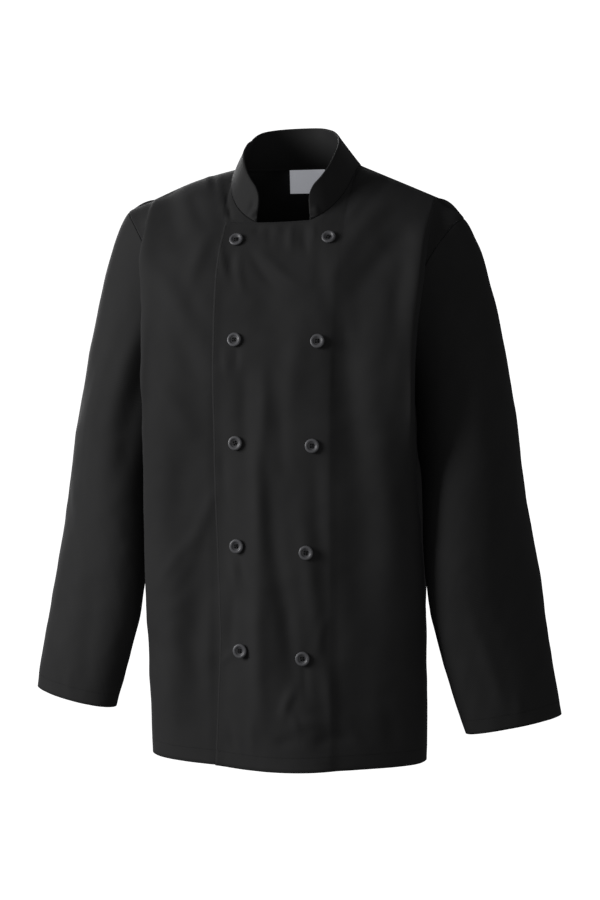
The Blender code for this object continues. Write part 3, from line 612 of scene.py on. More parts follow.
# Folds and creases of the fronts as seen from the front, in millimetres: start x and z, end x
# and z, sideways bow, half width, height out (below zero in), and skew, which steepens the
# side towards +X.
FRONT_FOLDS = (
    # the largest, which the cut pieces have too
    (-95, -190, -50, -330, 0, 26, 3, 0),
    (-20, -120, 10, -230, 0, 22, -2.5, 0),
    (135, -120, 70, -250, 0, 28, -3.5, 0),
    (-5, -430, -12, -740, 0, 22, 3.5, 0),
    (64, -520, 74, -740, 0, 22, -3, 0),
    (105, -380, 120, -720, 0, 26, 3, 0),
    (-120, -420, -130, -720, 0, 26, 3, 0),
    # the right chest, beside the lap: a hollow below the shoulder, a drag towards the lap
    (-167, -21, -121, -114, 3, 15, -3.6, 0.2),
    (-88, -89, -109, -168, 3, 11, 2.8, 0.5),
    (-170, -127, -108, -201, -4, 13, 2.2, 0.4),
    (-129, -34, -99, -83, 2, 8, -2, 0),
    (-124, -216, -81, -283, 3, 12, -2.2, 0),
    (-145, -278, -97, -352, -4, 14, 2.2, 0.4),
    (-115, -161, -81, -217, 3, 11, -2, 0),
    # puckers below the collar's right end
    (-120, 4, -102, -36, 1, 6, 1.3, 0.3),
    (-112, 0, -89, -45, 1, 4, -1.7, 0),
    (-104, -5, -81, -54, 1, 3.6, 1.6, 0.4),
    (-87, -21, -73, -59, 1, 3.2, -1.3, 0),
    (-84, -54, -75, -71, 0, 3.8, 1.5, 0.4),
    (-73, -59, -68, -74, 0, 3, -1.3, 0),
    # drawn down and across from the top right button
    (-75, -106, -62, -152, 1, 4.6, 1.8, 0.5),
    (-59, -119, -57, -149, 1, 4.2, -1.5, 0),
    (-49, -121, -39, -170, 2, 5, 1.7, 0.5),
    (-37, -116, 1, -165, 2, 5, -1.5, 0.3),
    (-21, -119, 28, -161, 2, 5.5, 1.4, 0.4),
    (-46, -87, -10, -80, -3, 5, -1.1, 0),
    # short puckers under the straight top edge
    (-31, -81, -30, -98, 0, 3.6, -1, 0),
    (-17, -81, -11, -112, 0, 3.4, -1.1, 0.2),
    (-7, -83, -2, -99, 0, 3.4, 0.8, 0),
    (14, -82, 17, -118, 1, 5, 2, 0.5),
    (28, -84, 36, -123, 1, 5, -1.9, 0),
    (41, -87, 44, -105, 0, 4, 0.9, 0.3),
    # the left chest and side: a long drag from the armhole to the lap's hidden edge
    (132, -52, 72, -152, 4, 14, 2.8, 0.6),
    (160, -87, 93, -181, 4, 13, -2.6, 0),
    (100, -47, 81, -87, 2, 7, 1.3, 0.4),
    (121, -18, 107, -47, -2, 7, -1.2, 0),
    (155, -134, 150, -219, 3, 9, -1.6, 0),
    (139, -182, 129, -289, -3, 12, 0.6, 0.4),
    (95, -181, 106, -255, 2, 9, 1.3, 0.5),
    # the fold ridge beside the left sleeve
    (159, -204, 151, -316, 0, 12, 1.2, 0.4),
    (179, -168, 174, -327, 0, 11, -3.4, 0),
    (172, -460, 174, -920, 0, 17, 6.2, 0),
    (-186, -62, -176, -165, 0, 16, 6, 0),
    # long soft ridges and hollows that hang down the lap
    (-32, -264, -30, -376, 2, 9, -2.2, 0),
    (-6, -260, -10, -379, -2, 9, 2.3, 0.5),
    (13, -299, 17, -393, 2, 9, -1.6, 0),
    (34, -213, 30, -328, 3, 13, 2, 0.3),
    (-16, -359, -11, -497, -2, 10, 3, 0.5),
    (-13, -505, -11, -697, 2, 11, 3, 0.5),
    (-1, -403, 24, -594, 4, 12, -4, 0),
    (19, -546, 33, -660, 2, 10, -2.6, 0),
    (40, -439, 60, -604, -3, 12, 3.4, 0.5),
    (57, -376, 63, -492, 2, 9, -1.6, 0),
    (70, -565, 58, -611, 2, 7, 1.6, 0.2),
    (63, -606, 78, -711, -2, 9, 2.6, 0.3),
    (43, -606, 45, -667, 2, 6, -1.5, 0),
    (44, -87, 70, -206, 2, 10, -1.2, 0),
    # the cloth falls away beyond the under front's hidden edge
    (93, -204, 103, -388, 3, 19, -6.2, 0),
    (105, -352, 112, -655, -2, 24, -7.6, 0),
    (140, -352, 154, -546, 0, 16, 2.4, 0.4),
    (107, -618, 113, -746, 0, 24, -3.4, 0),
    # beside the leading edge and at the right column of buttons
    (-48, -532, -52, -615, 1, 7, -1.6, 0),
    (-58, -237, -53, -274, 1, 4, 1.1, 0.3),
    (-44, -237, -43, -267, 0, 4.2, -1.6, 0),
    (-40, -493, -29, -527, 1, 4, -1.6, 0.2),
    (-52, -496, -43, -534, -1, 4.4, 1.4, 0.4),
    (-66, -626, -39, -610, 3, 3.8, 1.8, 0.4),
    (-39, -617, -23, -613, -3, 4, -1.4, 0),
    (-61, -366, -56, -425, 2, 6, -1.1, 0),
    # the right side, below the waist
    (-82, -260, -80, -780, 0, 44, -13, 0),
    (-100, -470, -105, -700, 3, 17, -3.6, 0),
    (-113, -366, -128, -507, 2, 20, -4.6, 0),
    (-71, -413, -109, -514, 4, 8, 1.8, 0.5),
    (-103, -506, -131, -551, -3, 8, -1.4, 0),
    (-94, -462, -146, -532, 3, 7, 1.5, 0.3),
    (-123, -573, -97, -642, 3, 10, -1.5, 0),
    (-142, -624, -126, -715, -3, 10, 1.4, 0.4),
    (-85, -548, -84, -671, 2, 9, 1.3, 0.3),
    # the lap flares at the hem, with wrinkles just above it
    (-60, -772, 85, -772, 0, 42, 4, 0),
    (38, -640, 44, -840, 0, 44, 7, 0),
    (31, -653, 16, -689, 2, 6, 2.6, 0.5),
    (17, -682, 36, -701, -3, 5, 2, 0.4),
    (33, -694, 81, -701, -5, 6, 2.4, 0.3),
    (6, -721, 35, -717, 2, 6, -2.2, 0),
    (52, -719, 91, -714, 3, 6, -2.4, 0),
    (47, -735, 81, -735, 2, 3.6, 1.2, 0.3),
    (90, -691, 113, -726, 2, 6, 1.5, 0.5),
    (-55, -699, -45, -733, 1, 5, -1.1, 0),
    (-23, -688, -22, -734, 1, 6, 1.2, 0.3),
    (137, -668, 143, -732, -2, 8, -1.5, 0),
)


FOLD_ENDS = (0.08, 0.92)   # the part of a half wave that a fold rises and falls by


def fold_heights(folds, x, z):
    """How far a table of folds moves the cloth out at places x, z."""
    height = np.zeros_like(x)
    for *sizes, skew in folds:
        x0, z0, x1, z1, bow, width, out = (size / 1000.0 for size in sizes)
        run_x, run_z = x1 - x0, z1 - z0
        length = math.hypot(run_x, run_z)
        t = ((x - x0) * run_x + (z - z0) * run_z) / length ** 2
        near = np.clip(t, 0.0, 1.0)
        over = (t - near) * length
        side = ((x - x0) * run_z - (z - z0) * run_x) / length
        side = side * math.copysign(1.0, -run_z if abs(run_z) > 1e-6 else 1.0)
        side = (side - bow * np.sin(math.pi * near)) / width
        taper = np.sin(math.pi * mix(*FOLD_ENDS, near))
        lean = 1.0 + skew * np.clip(side, -1.5, 1.5)
        height += out * np.exp(-side ** 2 - (over / width) ** 2) * lean * taper
    return height


def mottle(x, z, pitch, seed, cells=64):
    """Soft uneven heights from -1 to 1 at a pitch; cells is how many go round a tube."""
    table = np.random.RandomState(seed).uniform(-1.0, 1.0, (cells, cells))
    across, up = np.floor(x / pitch), np.floor(z / pitch)
    part_x, part_z = ease(x / pitch - across), ease(z / pitch - up)
    i, j = across.astype(int) % cells, up.astype(int) % cells
    i_next, j_next = (i + 1) % cells, (j + 1) % cells
    return mix(
        mix(table[i, j], table[i_next, j], part_x),
        mix(table[i, j_next], table[i_next, j_next], part_x), part_z)


UNEVEN_PITCH = 0.034
UNEVEN_HEIGHT = 0.0010


def uneven(x, z, seed):
    """The soft unevenness that is left in pressed cloth, turned a little off the straight."""
    a, b = 0.9 * x + 0.44 * z, 0.9 * z - 0.44 * x
    coarse = mottle(a, b, UNEVEN_PITCH, seed) * UNEVEN_HEIGHT
    return coarse + mottle(b, a, UNEVEN_PITCH * 0.45, seed + 1) * UNEVEN_HEIGHT * 0.3


FRONT_SOFT = (0.030, 60)       # how far from the neck's corner it is softened, and how often
BACK_SOFT = (0.050, 220)


def panel_grid(columns, side, back):
    """A panel's plain grid from its columns, softened below the neck's corner."""
    points = np.stack([column_points(kind, place, side, back) for kind, place in columns], axis=1)
    corner = [kind for kind, place in columns].index("seam")
    soften(points, corner, *(BACK_SOFT if back else FRONT_SOFT))
    return points, corner


def side_columns(count):
    """Columns from the neck seam's end along the shoulder and on to the side seam."""
    seam = [("seam", mix(NECK_Q, 2.0, i / SEAM_COLUMNS)) for i in range(SEAM_COLUMNS)]
    return seam + [("side", mix(2.0, 3.0, i / count)) for i in range(count + 1)]


def front_columns():
    """The kind and place of each column across a front."""
    columns = [("lap", mix(-LAP, -COLLAR_END, i / 11)) for i in range(11)]
    columns += [("lap", mix(-COLLAR_END, COLLAR_END, i / 20)) for i in range(20)]
    columns += neck_steps(NECK_FIRST, 40.0, 13) + neck_steps(40.0, 90.0, 18)
    columns += side_columns(FRONT_SIDE_COLUMNS)
    return columns


LAYER_FADE = (0.010, 0.034)   # over which the layers close beyond the lap, low and high up
LAYER_FADE_FROM = -0.260      # the height where the first becomes the second, over 8 cm
LAYER_TOP = 0.008             # and above the top edge they close from here over 14 mm


def layer_share(points):
    """How fully a front is lifted over, or let in under, the other front."""
    x, z = points[..., 0], points[..., 2]
    reach = mix(*LAYER_FADE, ease((z - LAYER_FADE_FROM) / 0.08))
    share = 1.0 - ease((x - LAP + 0.002) / reach)
    above = z - top_edge_z(COLLAR_END) - LAYER_TOP
    return np.where(x > COLLAR_END + 0.0001, share * (1.0 - ease(above / 0.014)), share)


# Where a front is folded more sharply along its ridge: how far forward and inwards, and
# the heights between which this comes and goes, for the left front and the right.
RIDGE_CREASES = {
    1.0: (0.012, 0.0, -0.110, -0.050, -0.420, -0.300),
    -1.0: (0.010, 0.0020, -0.240, -0.140, -0.700, -0.520),
}
CREST = 1.96              # the crease's place across a front
CREST_BEFORE = 0.24       # how far it reaches towards the lap, and towards the side
CREST_AFTER = 0.07


def sharpen_ridge(points, q, side):
    """Bring the cloth beside the ridge forward, so that it turns there at one crisp line."""
    forward, inwards, top_full, top_end, low_end, low_full = RIDGE_CREASES[side]
    crest = np.exp(-((q - CREST) / np.where(q < CREST, CREST_BEFORE, CREST_AFTER)) ** 2)
    z = points[..., 2]
    fall = ease((z - low_end) / (low_full - low_end))
    fall = fall * ease((top_end - z) / (top_end - top_full))
    points[..., 0] -= inwards * crest[None, :] * fall
    points[..., 1] -= forward * crest[None, :] * fall


# How far the lap's leading edge strays from straight: height, and distance to the left.
EDGE_SWAY = (
    (-0.760, 0.0), (-0.655, 0.0025), (-0.590, 0.0045), (-0.500, 0.0020),
    (-0.400, 0.0), (-0.230, -0.0010), (-0.140, -0.0035), (-0.080, 0.0),
)
EDGE_SWAY_REACH = 0.030   # how far from the edge the cloth follows it
EDGE_ROLL = 0.0011        # the lap's leading edge curls up by this, over this
EDGE_ROLL_REACH = 0.007
TOP_FADE = 0.012          # folds die away over this below the top edge and its seams
SIDE_FADE = 0.030         # and over this from a side seam
HEM_STITCH = 0.018        # rows of stitching this far above the hem and the cuffs
EDGE_STITCH = 0.0026      # and this far in from the lap, top and collar edges


def front_grid(side):
    """The grid of one front on the +X half, its through-thickness directions and columns."""
    columns = front_columns()
    points, _ = panel_grid(columns, side, False)
    sharpen_ridge(points, np.array([place_q(kind, place) for kind, place in columns]), side)
    if side > 0:
        sway = read_rows(EDGE_SWAY, points[..., 2])[..., 1]
        points[..., 0] += sway * np.exp(-(run_along(points, 1) / EDGE_SWAY_REACH) ** 2)
    normals = grid_normals(points)
    x, z = points[..., 0] * side, points[..., 2]
    push = fold_heights(FRONT_FOLDS, x, z) + uneven(x, z, 5)
    if side > 0:
        push += EDGE_ROLL * np.exp(-(run_along(points, 1) / EDGE_ROLL_REACH) ** 2)
    push *= ease(run_back(points, 0) / TOP_FADE) * ease(run_back(points, 1) / SIDE_FADE)
    points += normals * push[..., None]
    necks = {c: neck_lift(place) for c, (kind, place) in enumerate(columns) if kind == "neck"}
    normals[-1, list(necks)] = list(necks.values())
    points += normals * (side * LAYER * layer_share(points))[..., None]
    lifts = grid_normals(points)
    lifts[-1, list(necks)] = list(necks.values())
    for c, (kind, place) in enumerate(columns):
        if kind in ("seam", "side"):
            lifts[-1, c] = seam_lift(place, side)
            points[-1, c, 1] -= SEAM / 2.0
    points[:, -1, 1] -= SEAM / 2.0
    lifts[:ROWS_LOWER, -1] = (1.0, 0.0, 0.0)
    for j in range(ROWS_UPPER + 1):
        lifts[ROWS_LOWER + j, -1] = armhole_lift(180.0 * (1.0 - j / ROWS_UPPER))
    return points, lifts, columns


def mirrored(grid):
    """A grid or line of points on the other side."""
    return grid * np.array([-1.0, 1.0, 1.0])


def add_front(name, side):
    """One front as a cloth piece, with its grid and columns."""
    points, lifts, columns = front_grid(side)
    open_top = np.array([kind == "lap" for kind, place in columns])
    down = np.where(open_top[None, :], run_back(points, 0), 1.0)
    edges = np.minimum(down, run_along(points, 1)) - EDGE_STITCH
    stitch = np.minimum(run_along(points, 0) - HEM_STITCH, edges)
    if side < 0:
        points, lifts = mirrored(points), mirrored(lifts)
    piece = cloth_piece(
        name, points, lifts, CLOTH, stitch, TWILL, ("top", "right"), flip=side < 0)
    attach(piece, "root")
    return piece, points, columns


front_left, left_points, left_columns = add_front("front_left_cloth", 1.0)
front_right, right_points, right_columns = add_front("front_right_cloth", -1.0)
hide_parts("front_left")
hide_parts("front_right")


# ------------------------------------------------------------------ stitching
# Rows of black sewing thread, a lockstitch of 3 mm: along the lap and top edges, the hem,
# the cuffs and the collar. Each stitch lies in the cloth, sunk at its ends.
THREAD_COLOUR = (0.030, 0.030, 0.032, 1.0)
STITCH_SIZES = {"Pitch": 0.0032, "Length": 0.0025, "Radius": 0.00018}


def thread_material():
    """Twisted polyester thread."""
    material, tree = new_material("black_thread", Specular_IOR_Level=0.3)
    place = add_node(tree, "ShaderNodeTexCoord", {}, {}, "Object")
    twist = noise(tree, place, 4000.0, 1.0)
    finish_surface(tree, twist, TWILL_DARK, THREAD_COLOUR, twist * 0.2 + 0.60)
    return material


THREAD = thread_material()


def stitch_tree():
    """Geometry Nodes: a stitch at each step along the paths, turned to lie on the cloth."""
    tree = bpy.data.node_groups.new("stitches", "GeometryNodeTree")
    face = tree.interface
    face.new_socket("Geometry", in_out="INPUT", socket_type="NodeSocketGeometry")
    for name in STITCH_SIZES:
        face.new_socket(name, in_out="INPUT", socket_type="NodeSocketFloat")
    face.new_socket("Thread", in_out="INPUT", socket_type="NodeSocketMaterial")
    face.new_socket("Geometry", in_out="OUTPUT", socket_type="NodeSocketGeometry")
    given = tree.nodes.new("NodeGroupInput")
    result = tree.nodes.new("NodeGroupOutput")

    def node(kind, settings=None, **values):
        made = tree.nodes.new(kind)
        for key, value in (settings or {}).items():
            setattr(made, key, value)
        for key, value in values.items():
            socket = made.inputs[key.replace("_", " ")]
            if isinstance(value, bpy.types.NodeSocket):
                tree.links.new(value, socket)
            else:
                socket.default_value = value
        return made

    line = node("GeometryNodeMeshToCurve", Mesh=given.outputs["Geometry"])
    steps = node("GeometryNodeResampleCurve", {"mode": "LENGTH"},
                 Curve=line.outputs["Curve"], Length=given.outputs["Pitch"])
    away = node("GeometryNodeInputNamedAttribute", {"data_type": "FLOAT_VECTOR"}, Name="away")
    tangent = node("GeometryNodeInputTangent")
    upright = node("FunctionNodeAlignRotationToVector", {"axis": "Z"},
                   Vector=away.outputs["Attribute"])
    turned = node("FunctionNodeAlignRotationToVector", {"axis": "X", "pivot_axis": "Z"},
                  Rotation=upright.outputs["Rotation"], Vector=tangent.outputs["Tangent"])
    half = node("ShaderNodeMath", {"operation": "MULTIPLY"})
    tree.links.new(given.outputs["Length"], half.inputs[0])
    half.inputs[1].default_value = 0.5
    size = node("ShaderNodeCombineXYZ", X=half.outputs[0],
                Y=given.outputs["Radius"], Z=given.outputs["Radius"])
    bead = node("GeometryNodeMeshUVSphere", Segments=6, Rings=4, Radius=1.0)
    copies = node("GeometryNodeInstanceOnPoints", Points=steps.outputs["Curve"],
                  Instance=bead.outputs["Mesh"], Rotation=turned.outputs["Rotation"],
                  Scale=size.outputs["Vector"])
    real = node("GeometryNodeRealizeInstances", Geometry=copies.outputs["Instances"])
    smooth = node("GeometryNodeSetShadeSmooth")
    tree.links.new(real.outputs["Geometry"], smooth.inputs[0])
    dressed = node("GeometryNodeSetMaterial", Geometry=smooth.outputs[0],
                   Material=given.outputs["Thread"])
    tree.links.new(dressed.outputs["Geometry"], result.inputs[0])
    return tree


STITCHES = stitch_tree()


def stitching(name, lines):
    """Stitches along lines, each a list of points and the cloth's outward directions."""
    verts, edges, aways = [], [], []
    for points, outward in lines:
        start = len(verts)
        verts += (points + outward * STITCH_SIZES["Radius"] * 0.5).tolist()
        aways += outward.tolist()
        edges += [(start + i, start + i + 1) for i in range(len(points) - 1)]
    mesh = bpy.data.meshes.new(name)
    mesh.from_pydata(verts, edges, [])
    layer = mesh.attributes.new("away", "FLOAT_VECTOR", "POINT")
    layer.data.foreach_set("vector", np.array(aways, dtype=np.float32).ravel())
    path = in_scene(name + "_path", mesh)
    sewing = path.modifiers.new("stitches", "NODES")
    sewing.node_group = STITCHES
    inputs = {item.name: item.identifier for item in STITCHES.interface.items_tree
              if item.item_type == "SOCKET" and item.in_out == "INPUT"}
    for key, value in STITCH_SIZES.items():
        sewing[inputs[key]] = value
    sewing[inputs["Thread"]] = THREAD
    view = bpy.context.evaluated_depsgraph_get()
    made = bpy.data.meshes.new_from_object(path.evaluated_get(view))
    made.name = name
    bpy.data.objects.remove(path, do_unlink=True)
    piece = in_scene(name, made)
    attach(piece, "root")
    return piece


def inset(points, lifts, distance):
    """The line this far in from the first row of a grid, with its outward directions."""
    run = run_along(points, 0)
    line, outward = [], []
    for c in range(points.shape[1]):
        i = int(np.clip(np.searchsorted(run[:, c], distance), 1, len(run) - 1))
        t = (distance - run[i - 1, c]) / (run[i, c] - run[i - 1, c])
        line.append(mix(points[i - 1, c], points[i, c], t))
        outward.append(unit(mix(lifts[i - 1, c], lifts[i, c], t)))
    return np.array(line), np.array(outward)


def trimmed(line, first, last):
    """A stitched line without its first and last few points."""
    points, outward = line
    return points[first:len(points) - last], outward[first:len(points) - last]


def front_lines(points, columns, side):
    """Stitched lines of a front: hem, lap edge and straight top edge."""
    outward = grid_normals(points) * side
    laps = sum(1 for kind, place in columns if kind == "lap")
    hem = inset(points, outward, HEM_STITCH)
    lap = inset(points.transpose(1, 0, 2), outward.transpose(1, 0, 2), EDGE_STITCH)
    top = inset(points[::-1, :laps], outward[::-1, :laps], EDGE_STITCH)
    return [trimmed(hem, 0, 1), trimmed(lap, 4, 2), trimmed(top, 2, 0)]


left_stitching = stitching("front_left_stitching", front_lines(left_points, left_columns, 1.0))
right_stitching = stitching(
    "front_right_stitching", front_lines(right_points, right_columns, -1.0))


# ------------------------------------------------------------------ the back
# One piece of the same twill from side seam to side seam, sewn to the fronts at the
# shoulders and sides and to the collar at the neck. It hangs in long loose folds.
LABEL_HALF = 0.0235       # a column of the cloth lies at each side of the label
LABEL_COLUMNS = 5         # this many on from the middle
BACK_SIDE_COLUMNS = 22    # grid columns from the ridge to the side seam
NECK_FADE = 0.020         # folds die away over this below the neck seam
BACK_FOLDS = (
    # the largest, which the cut piece has too
    (70, -200, 45, -420, 0, 30, -4, 0),
    (-75, -190, -50, -400, 0, 30, -4, 0),
    (100, -420, 115, -730, 0, 26, 4.5, 0),
    (40, -480, 45, -740, 0, 24, -4, 0),
    (-30, -450, -35, -740, 0, 26, 4.5, 0),
    (-105, -440, -115, -740, 0, 26, -4, 0),
    # soft drags from the armholes towards the middle
    (150, -150, 90, -215, 6, 12, 3.4, 0.4),
    (162, -190, 110, -270, 5, 11, -3, 0),
    (-155, -145, -98, -225, -5, 13, 3.2, 0.4),
    (-160, -200, -105, -262, -6, 10.5, -2.9, 0),
    # narrower creases that run on down to the hem
    (72, -360, 78, -560, 4, 10, 3.2, 0.5),
    (8, -300, 4, -520, -4, 11, -3, 0.4),
    (-66, -420, -70, -650, 3, 9.5, 3.4, 0.5),
    (-6, -560, -4, -738, 2, 8.5, -2.9, 0.3),
    (130, -520, 136, -700, -3, 8, -2.7, 0),
    (-136, -500, -142, -690, 3, 8.5, 2.7, 0.4),
    # a few short ones across the small of the back and by the hem
    (-50, -452, 30, -470, 5, 7, 2.1, 0.4),
    (20, -500, 92, -486, -4, 6.5, -2.1, 0),
    (-92, -690, -60, -712, 3, 5.5, 2.3, 0.4),
    (56, -700, 84, -716, 2, 5, -2.1, 0),
    # below the neck seam
    (-46, -30, -52, -85, 3, 8, -1.9, 0),
    (50, -34, 44, -92, -3, 7.5, 1.9, 0.3),
)


def back_columns():
    """The kind and place of each column across half the back, from its centre."""
    label_edge = 180.0 - math.degrees(math.asin(LABEL_HALF / NECK_HALF))
    columns = neck_steps(180.0, label_edge, LABEL_COLUMNS) + neck_steps(label_edge, 90.0, 14)
    return columns + side_columns(BACK_SIDE_COLUMNS)


def back_half(side):
    """Half the back's grid, unfolded, and the shared directions at its edges."""
    columns = back_columns()
    points, corner = panel_grid(columns, side, True)
    edges = [neck_lift(place) if kind == "neck" else seam_lift(place, side)
             for kind, place in columns]
    points[-1, corner:, 1] += SEAM / 2.0
    points[:, -1, 1] += SEAM / 2.0
    arm = [armhole_lift(180.0 + 180.0 * j / ROWS_UPPER) for j in range(ROWS_UPPER + 1)]
    return points, np.array(edges), np.array(arm)


def back_grid():
    """The whole back from the wearer's right side seam to the left."""
    left, left_top, left_arm = back_half(1.0)
    right, right_top, right_arm = back_half(-1.0)
    points = np.concatenate([mirrored(right)[:, :0:-1], left], axis=1)
    normals = -grid_normals(points)
    push = fold_heights(BACK_FOLDS, points[..., 0], points[..., 2])
    push += uneven(points[..., 0], points[..., 2], 11)
    push *= ease(run_along(points, 1) / SIDE_FADE) * ease(run_back(points, 1) / SIDE_FADE)
    push *= ease(run_back(points, 0) / NECK_FADE)
    points += normals * push[..., None]
    lifts = -grid_normals(points)
    lifts[-1] = np.concatenate([mirrored(right_top)[:0:-1], left_top])
    lifts[:ROWS_LOWER, 0] = (-1.0, 0.0, 0.0)
    lifts[:ROWS_LOWER, -1] = (1.0, 0.0, 0.0)
    lifts[ROWS_LOWER:, 0] = mirrored(right_arm)
    lifts[ROWS_LOWER:, -1] = left_arm
    return points, lifts


back_points, back_lifts = back_grid()
back_stitch = run_along(back_points, 0) - HEM_STITCH
back = cloth_piece("back_cloth", back_points, back_lifts, CLOTH, back_stitch, TWILL,
                   ("top", "left", "right"), flip=True)
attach(back, "root")
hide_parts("back")
back_stitching = stitching("back_stitching", [
    trimmed(inset(back_points, -grid_normals(back_points), HEM_STITCH), 1, 1)])


# ------------------------------------------------------------------ the sleeves
# One-piece sleeves, each a tube sewn up under the arm and set into the armhole. The cap
# swings over from the shoulder; below the elbow the sleeve hangs forwards and outwards.
CAP_LEAVE = 0.28          # how the cap leaves the armhole: as much outwards as downwards
CAP_VALLEY = 0.12         # and forwards in front, backwards behind
CAP_ARRIVE = 1.1          # and how straight it runs into the hanging sleeve
SLEEVE_SQUARE = 0.70      # how squarely a section is cut across the arm's lean
LEFT_CUFF_DROP = 0.004    # the left cuff hangs this much lower still
ARM_STEP = 0.010          # the arm's direction is taken over this much height each way
ARM_RADIUS = 0.065        # turns the folds' degrees into lengths round the arm
SLEEVE_FADE = 0.040       # folds die away over this below the armhole
SLEEVE_UNEVEN = (         # soft unevenness: height, cells round the arm, seed
    (0.0008, 12, 21),
    (0.0003, 26, 31),
)
ROWS_CAP = 40
ROWS_ARM = 74
SLEEVE_TURNS = 2 * ROWS_UPPER

# Sleeve sections: height, centre x and y, half width, half depth, turn of the wide way.
SLEEVE_SECTIONS = (
    (-0.350, 0.2245, -0.018, 0.070, 0.063, 78.0),
    (-0.420, 0.2360, -0.030, 0.075, 0.056, 60.0),
    (-0.500, 0.2465, -0.039, 0.078, 0.048, 43.0),
    (-0.560, 0.2545, -0.043, 0.0735, 0.0425, 32.0),
    (-0.630, 0.2705, -0.042, 0.0668, 0.038, 26.0),
    (-0.681, 0.2830, -0.038, 0.0625, 0.034, 24.0),
)

# Folds of a sleeve by the turn round the arm in degrees (0 outwards, 90 in front) and the
# height in millimetres: start turn and height, end turn and height, bow in degrees, half
# width, height out, skew.
SLEEVE_FOLDS = {
    -1.0: (
        (62, -220, 66, -440, 4, 12, 2.2, 0.6),
        (103, -176, 110, -400, -3, 17, -4.6, 0),
        (88, -170, 92, -330, 2, 12, 1.8, 0.4),
        (58, -440, 70, -600, -3, 12, 1.4, 0.5),
        (96, -168, 118, -196, -2, 7, -1.4, 0),
        (80, -150, 104, -186, 2, 8, 1.1, 0.3),
        (84, -520, 98, -660, 3, 11, -1.3, 0),
        (20, -380, 40, -460, 3, 10, -1, 0),
        (230, -360, 300, -400, 6, 9, 2, 0.5),
        (220, -400, 290, -432, -6, 8.5, -1.9, 0),
        (240, -450, 300, -470, 5, 8.5, 1.5, 0.4),
        (260, -220, 268, -350, 4, 13, 1.8, 0.4),
        (300, -500, 310, -640, 3, 10, 1.2, 0.3),
        (76, -640, 82, -672, 2, 6, 1, 0.3),
    ),
    1.0: (
        (70, -180, 74, -360, 4, 12, 1.6, 0.5),
        (98, -290, 112, -500, -2, 23, 2, 0),
        (60, -400, 72, -560, -3, 13, 1, 0.5),
        (80, -360, 96, -600, 4, 26, 1.2, 0),
        (170, -400, 164, -540, 0, 24, 5, 0),
        (92, -540, 84, -670, 3, 11, 1.6, 0.4),
        (30, -520, 40, -640, 3, 12, -1.1, 0),
        (235, -365, 300, -395, -6, 9, 1.9, 0.5),
        (225, -405, 295, -438, 6, 8.5, -1.8, 0),
        (245, -455, 305, -480, -5, 8, 1.4, 0.4),
        (262, -230, 270, -345, 4, 13, 1.8, 0.4),
        (296, -510, 306, -650, -3, 10, 1.2, 0.3),
        (64, -645, 70, -676, 2, 6, 1, 0.3),
    ),
}


def arm_ring(z, side, turns):
    """A ring of the hanging sleeve on the +X half, and the sleeve's direction there."""
    row = read_rows(SLEEVE_SECTIONS, z)
    above = read_rows(SLEEVE_SECTIONS, z + ARM_STEP)
    below = read_rows(SLEEVE_SECTIONS, z - ARM_STEP)
    axis = np.array([below[1] - above[1], below[2] - above[2], below[0] - above[0]])
    axis = unit(axis * np.array([SLEEVE_SQUARE, SLEEVE_SQUARE, 1.0]))
    turn_out = math.radians(row[5])
    level_wide = np.array([math.cos(turn_out), math.sin(turn_out), 0.0])
    level_deep = np.array([math.sin(turn_out), -math.cos(turn_out), 0.0])
    wide = unit(level_wide - axis * level_wide.dot(axis))
    deep = unit(level_deep - axis * level_deep.dot(axis))
    angle = np.radians(turns) + turn_out
    centre = np.array([row[1], row[2], row[0]])
    ring = centre + np.outer(np.cos(angle), wide * row[3])
    ring += np.outer(np.sin(angle), deep * row[4])
    if side > 0:
        low = (SLEEVE_SECTIONS[0][0] - z) / (SLEEVE_SECTIONS[0][0] - SLEEVE_SECTIONS[-1][0])
        ring[:, 2] -= LEFT_DROP + LEFT_CUFF_DROP * low
    return ring, axis


def sleeve_grid(side):
    """The sleeve's rings from the armhole to the cuff, on the +X half."""
    turns = np.arange(SLEEVE_TURNS) * 360.0 / SLEEVE_TURNS
    start = np.array([armhole_point(turn, side) for turn in turns]) + np.array([SEAM, 0.0, 0.0])
    end, axis = arm_ring(SLEEVE_SECTIONS[0][0], side, turns)
    reach = np.linalg.norm(end - start, axis=1)[:, None]
    forwards = CAP_VALLEY * np.sin(np.radians(turns))
    leave = np.stack([
        np.full(SLEEVE_TURNS, CAP_LEAVE), forwards, np.full(SLEEVE_TURNS, -CAP_LEAVE)], axis=-1)
    leave = leave * reach
    arrive = axis[None, :] * reach * CAP_ARRIVE
    rows = [curve_between(start, leave, end, arrive, k / ROWS_CAP) for k in range(ROWS_CAP)]
    for k in range(ROWS_ARM + 1):
        z = mix(SLEEVE_SECTIONS[0][0], SLEEVE_SECTIONS[-1][0], k / ROWS_ARM)
        rows.append(arm_ring(z, side, turns)[0])
    points = np.array(rows)
    normals = grid_normals(points, wrap=True)
    degree = math.radians(ARM_RADIUS)
    round_way = np.broadcast_to(turns * degree, points.shape[:2])
    heights = points[..., 2] + (LEFT_DROP if side > 0 else 0.0)
    push = np.zeros_like(heights)
    for height, cells, seed in SLEEVE_UNEVEN:
        pitch = 360.0 * degree / cells
        push += height * mottle(round_way, heights, pitch, seed + int(side), cells)
    scale = degree * 1000.0
    for copy in (-360.0, 0.0, 360.0):
        push += fold_heights([
            ((t0 + copy) * scale, z0, (t1 + copy) * scale, z1, bow * scale, width, out, skew)
            for t0, z0, t1, z1, bow, width, out, skew in SLEEVE_FOLDS[side]], round_way, heights)
    push *= ease(run_along(points, 0) / SLEEVE_FADE)
    points += normals * push[..., None]
    lifts = grid_normals(points, wrap=True)
    lifts[0] = np.array([armhole_lift(turn) for turn in turns])
    return points, lifts


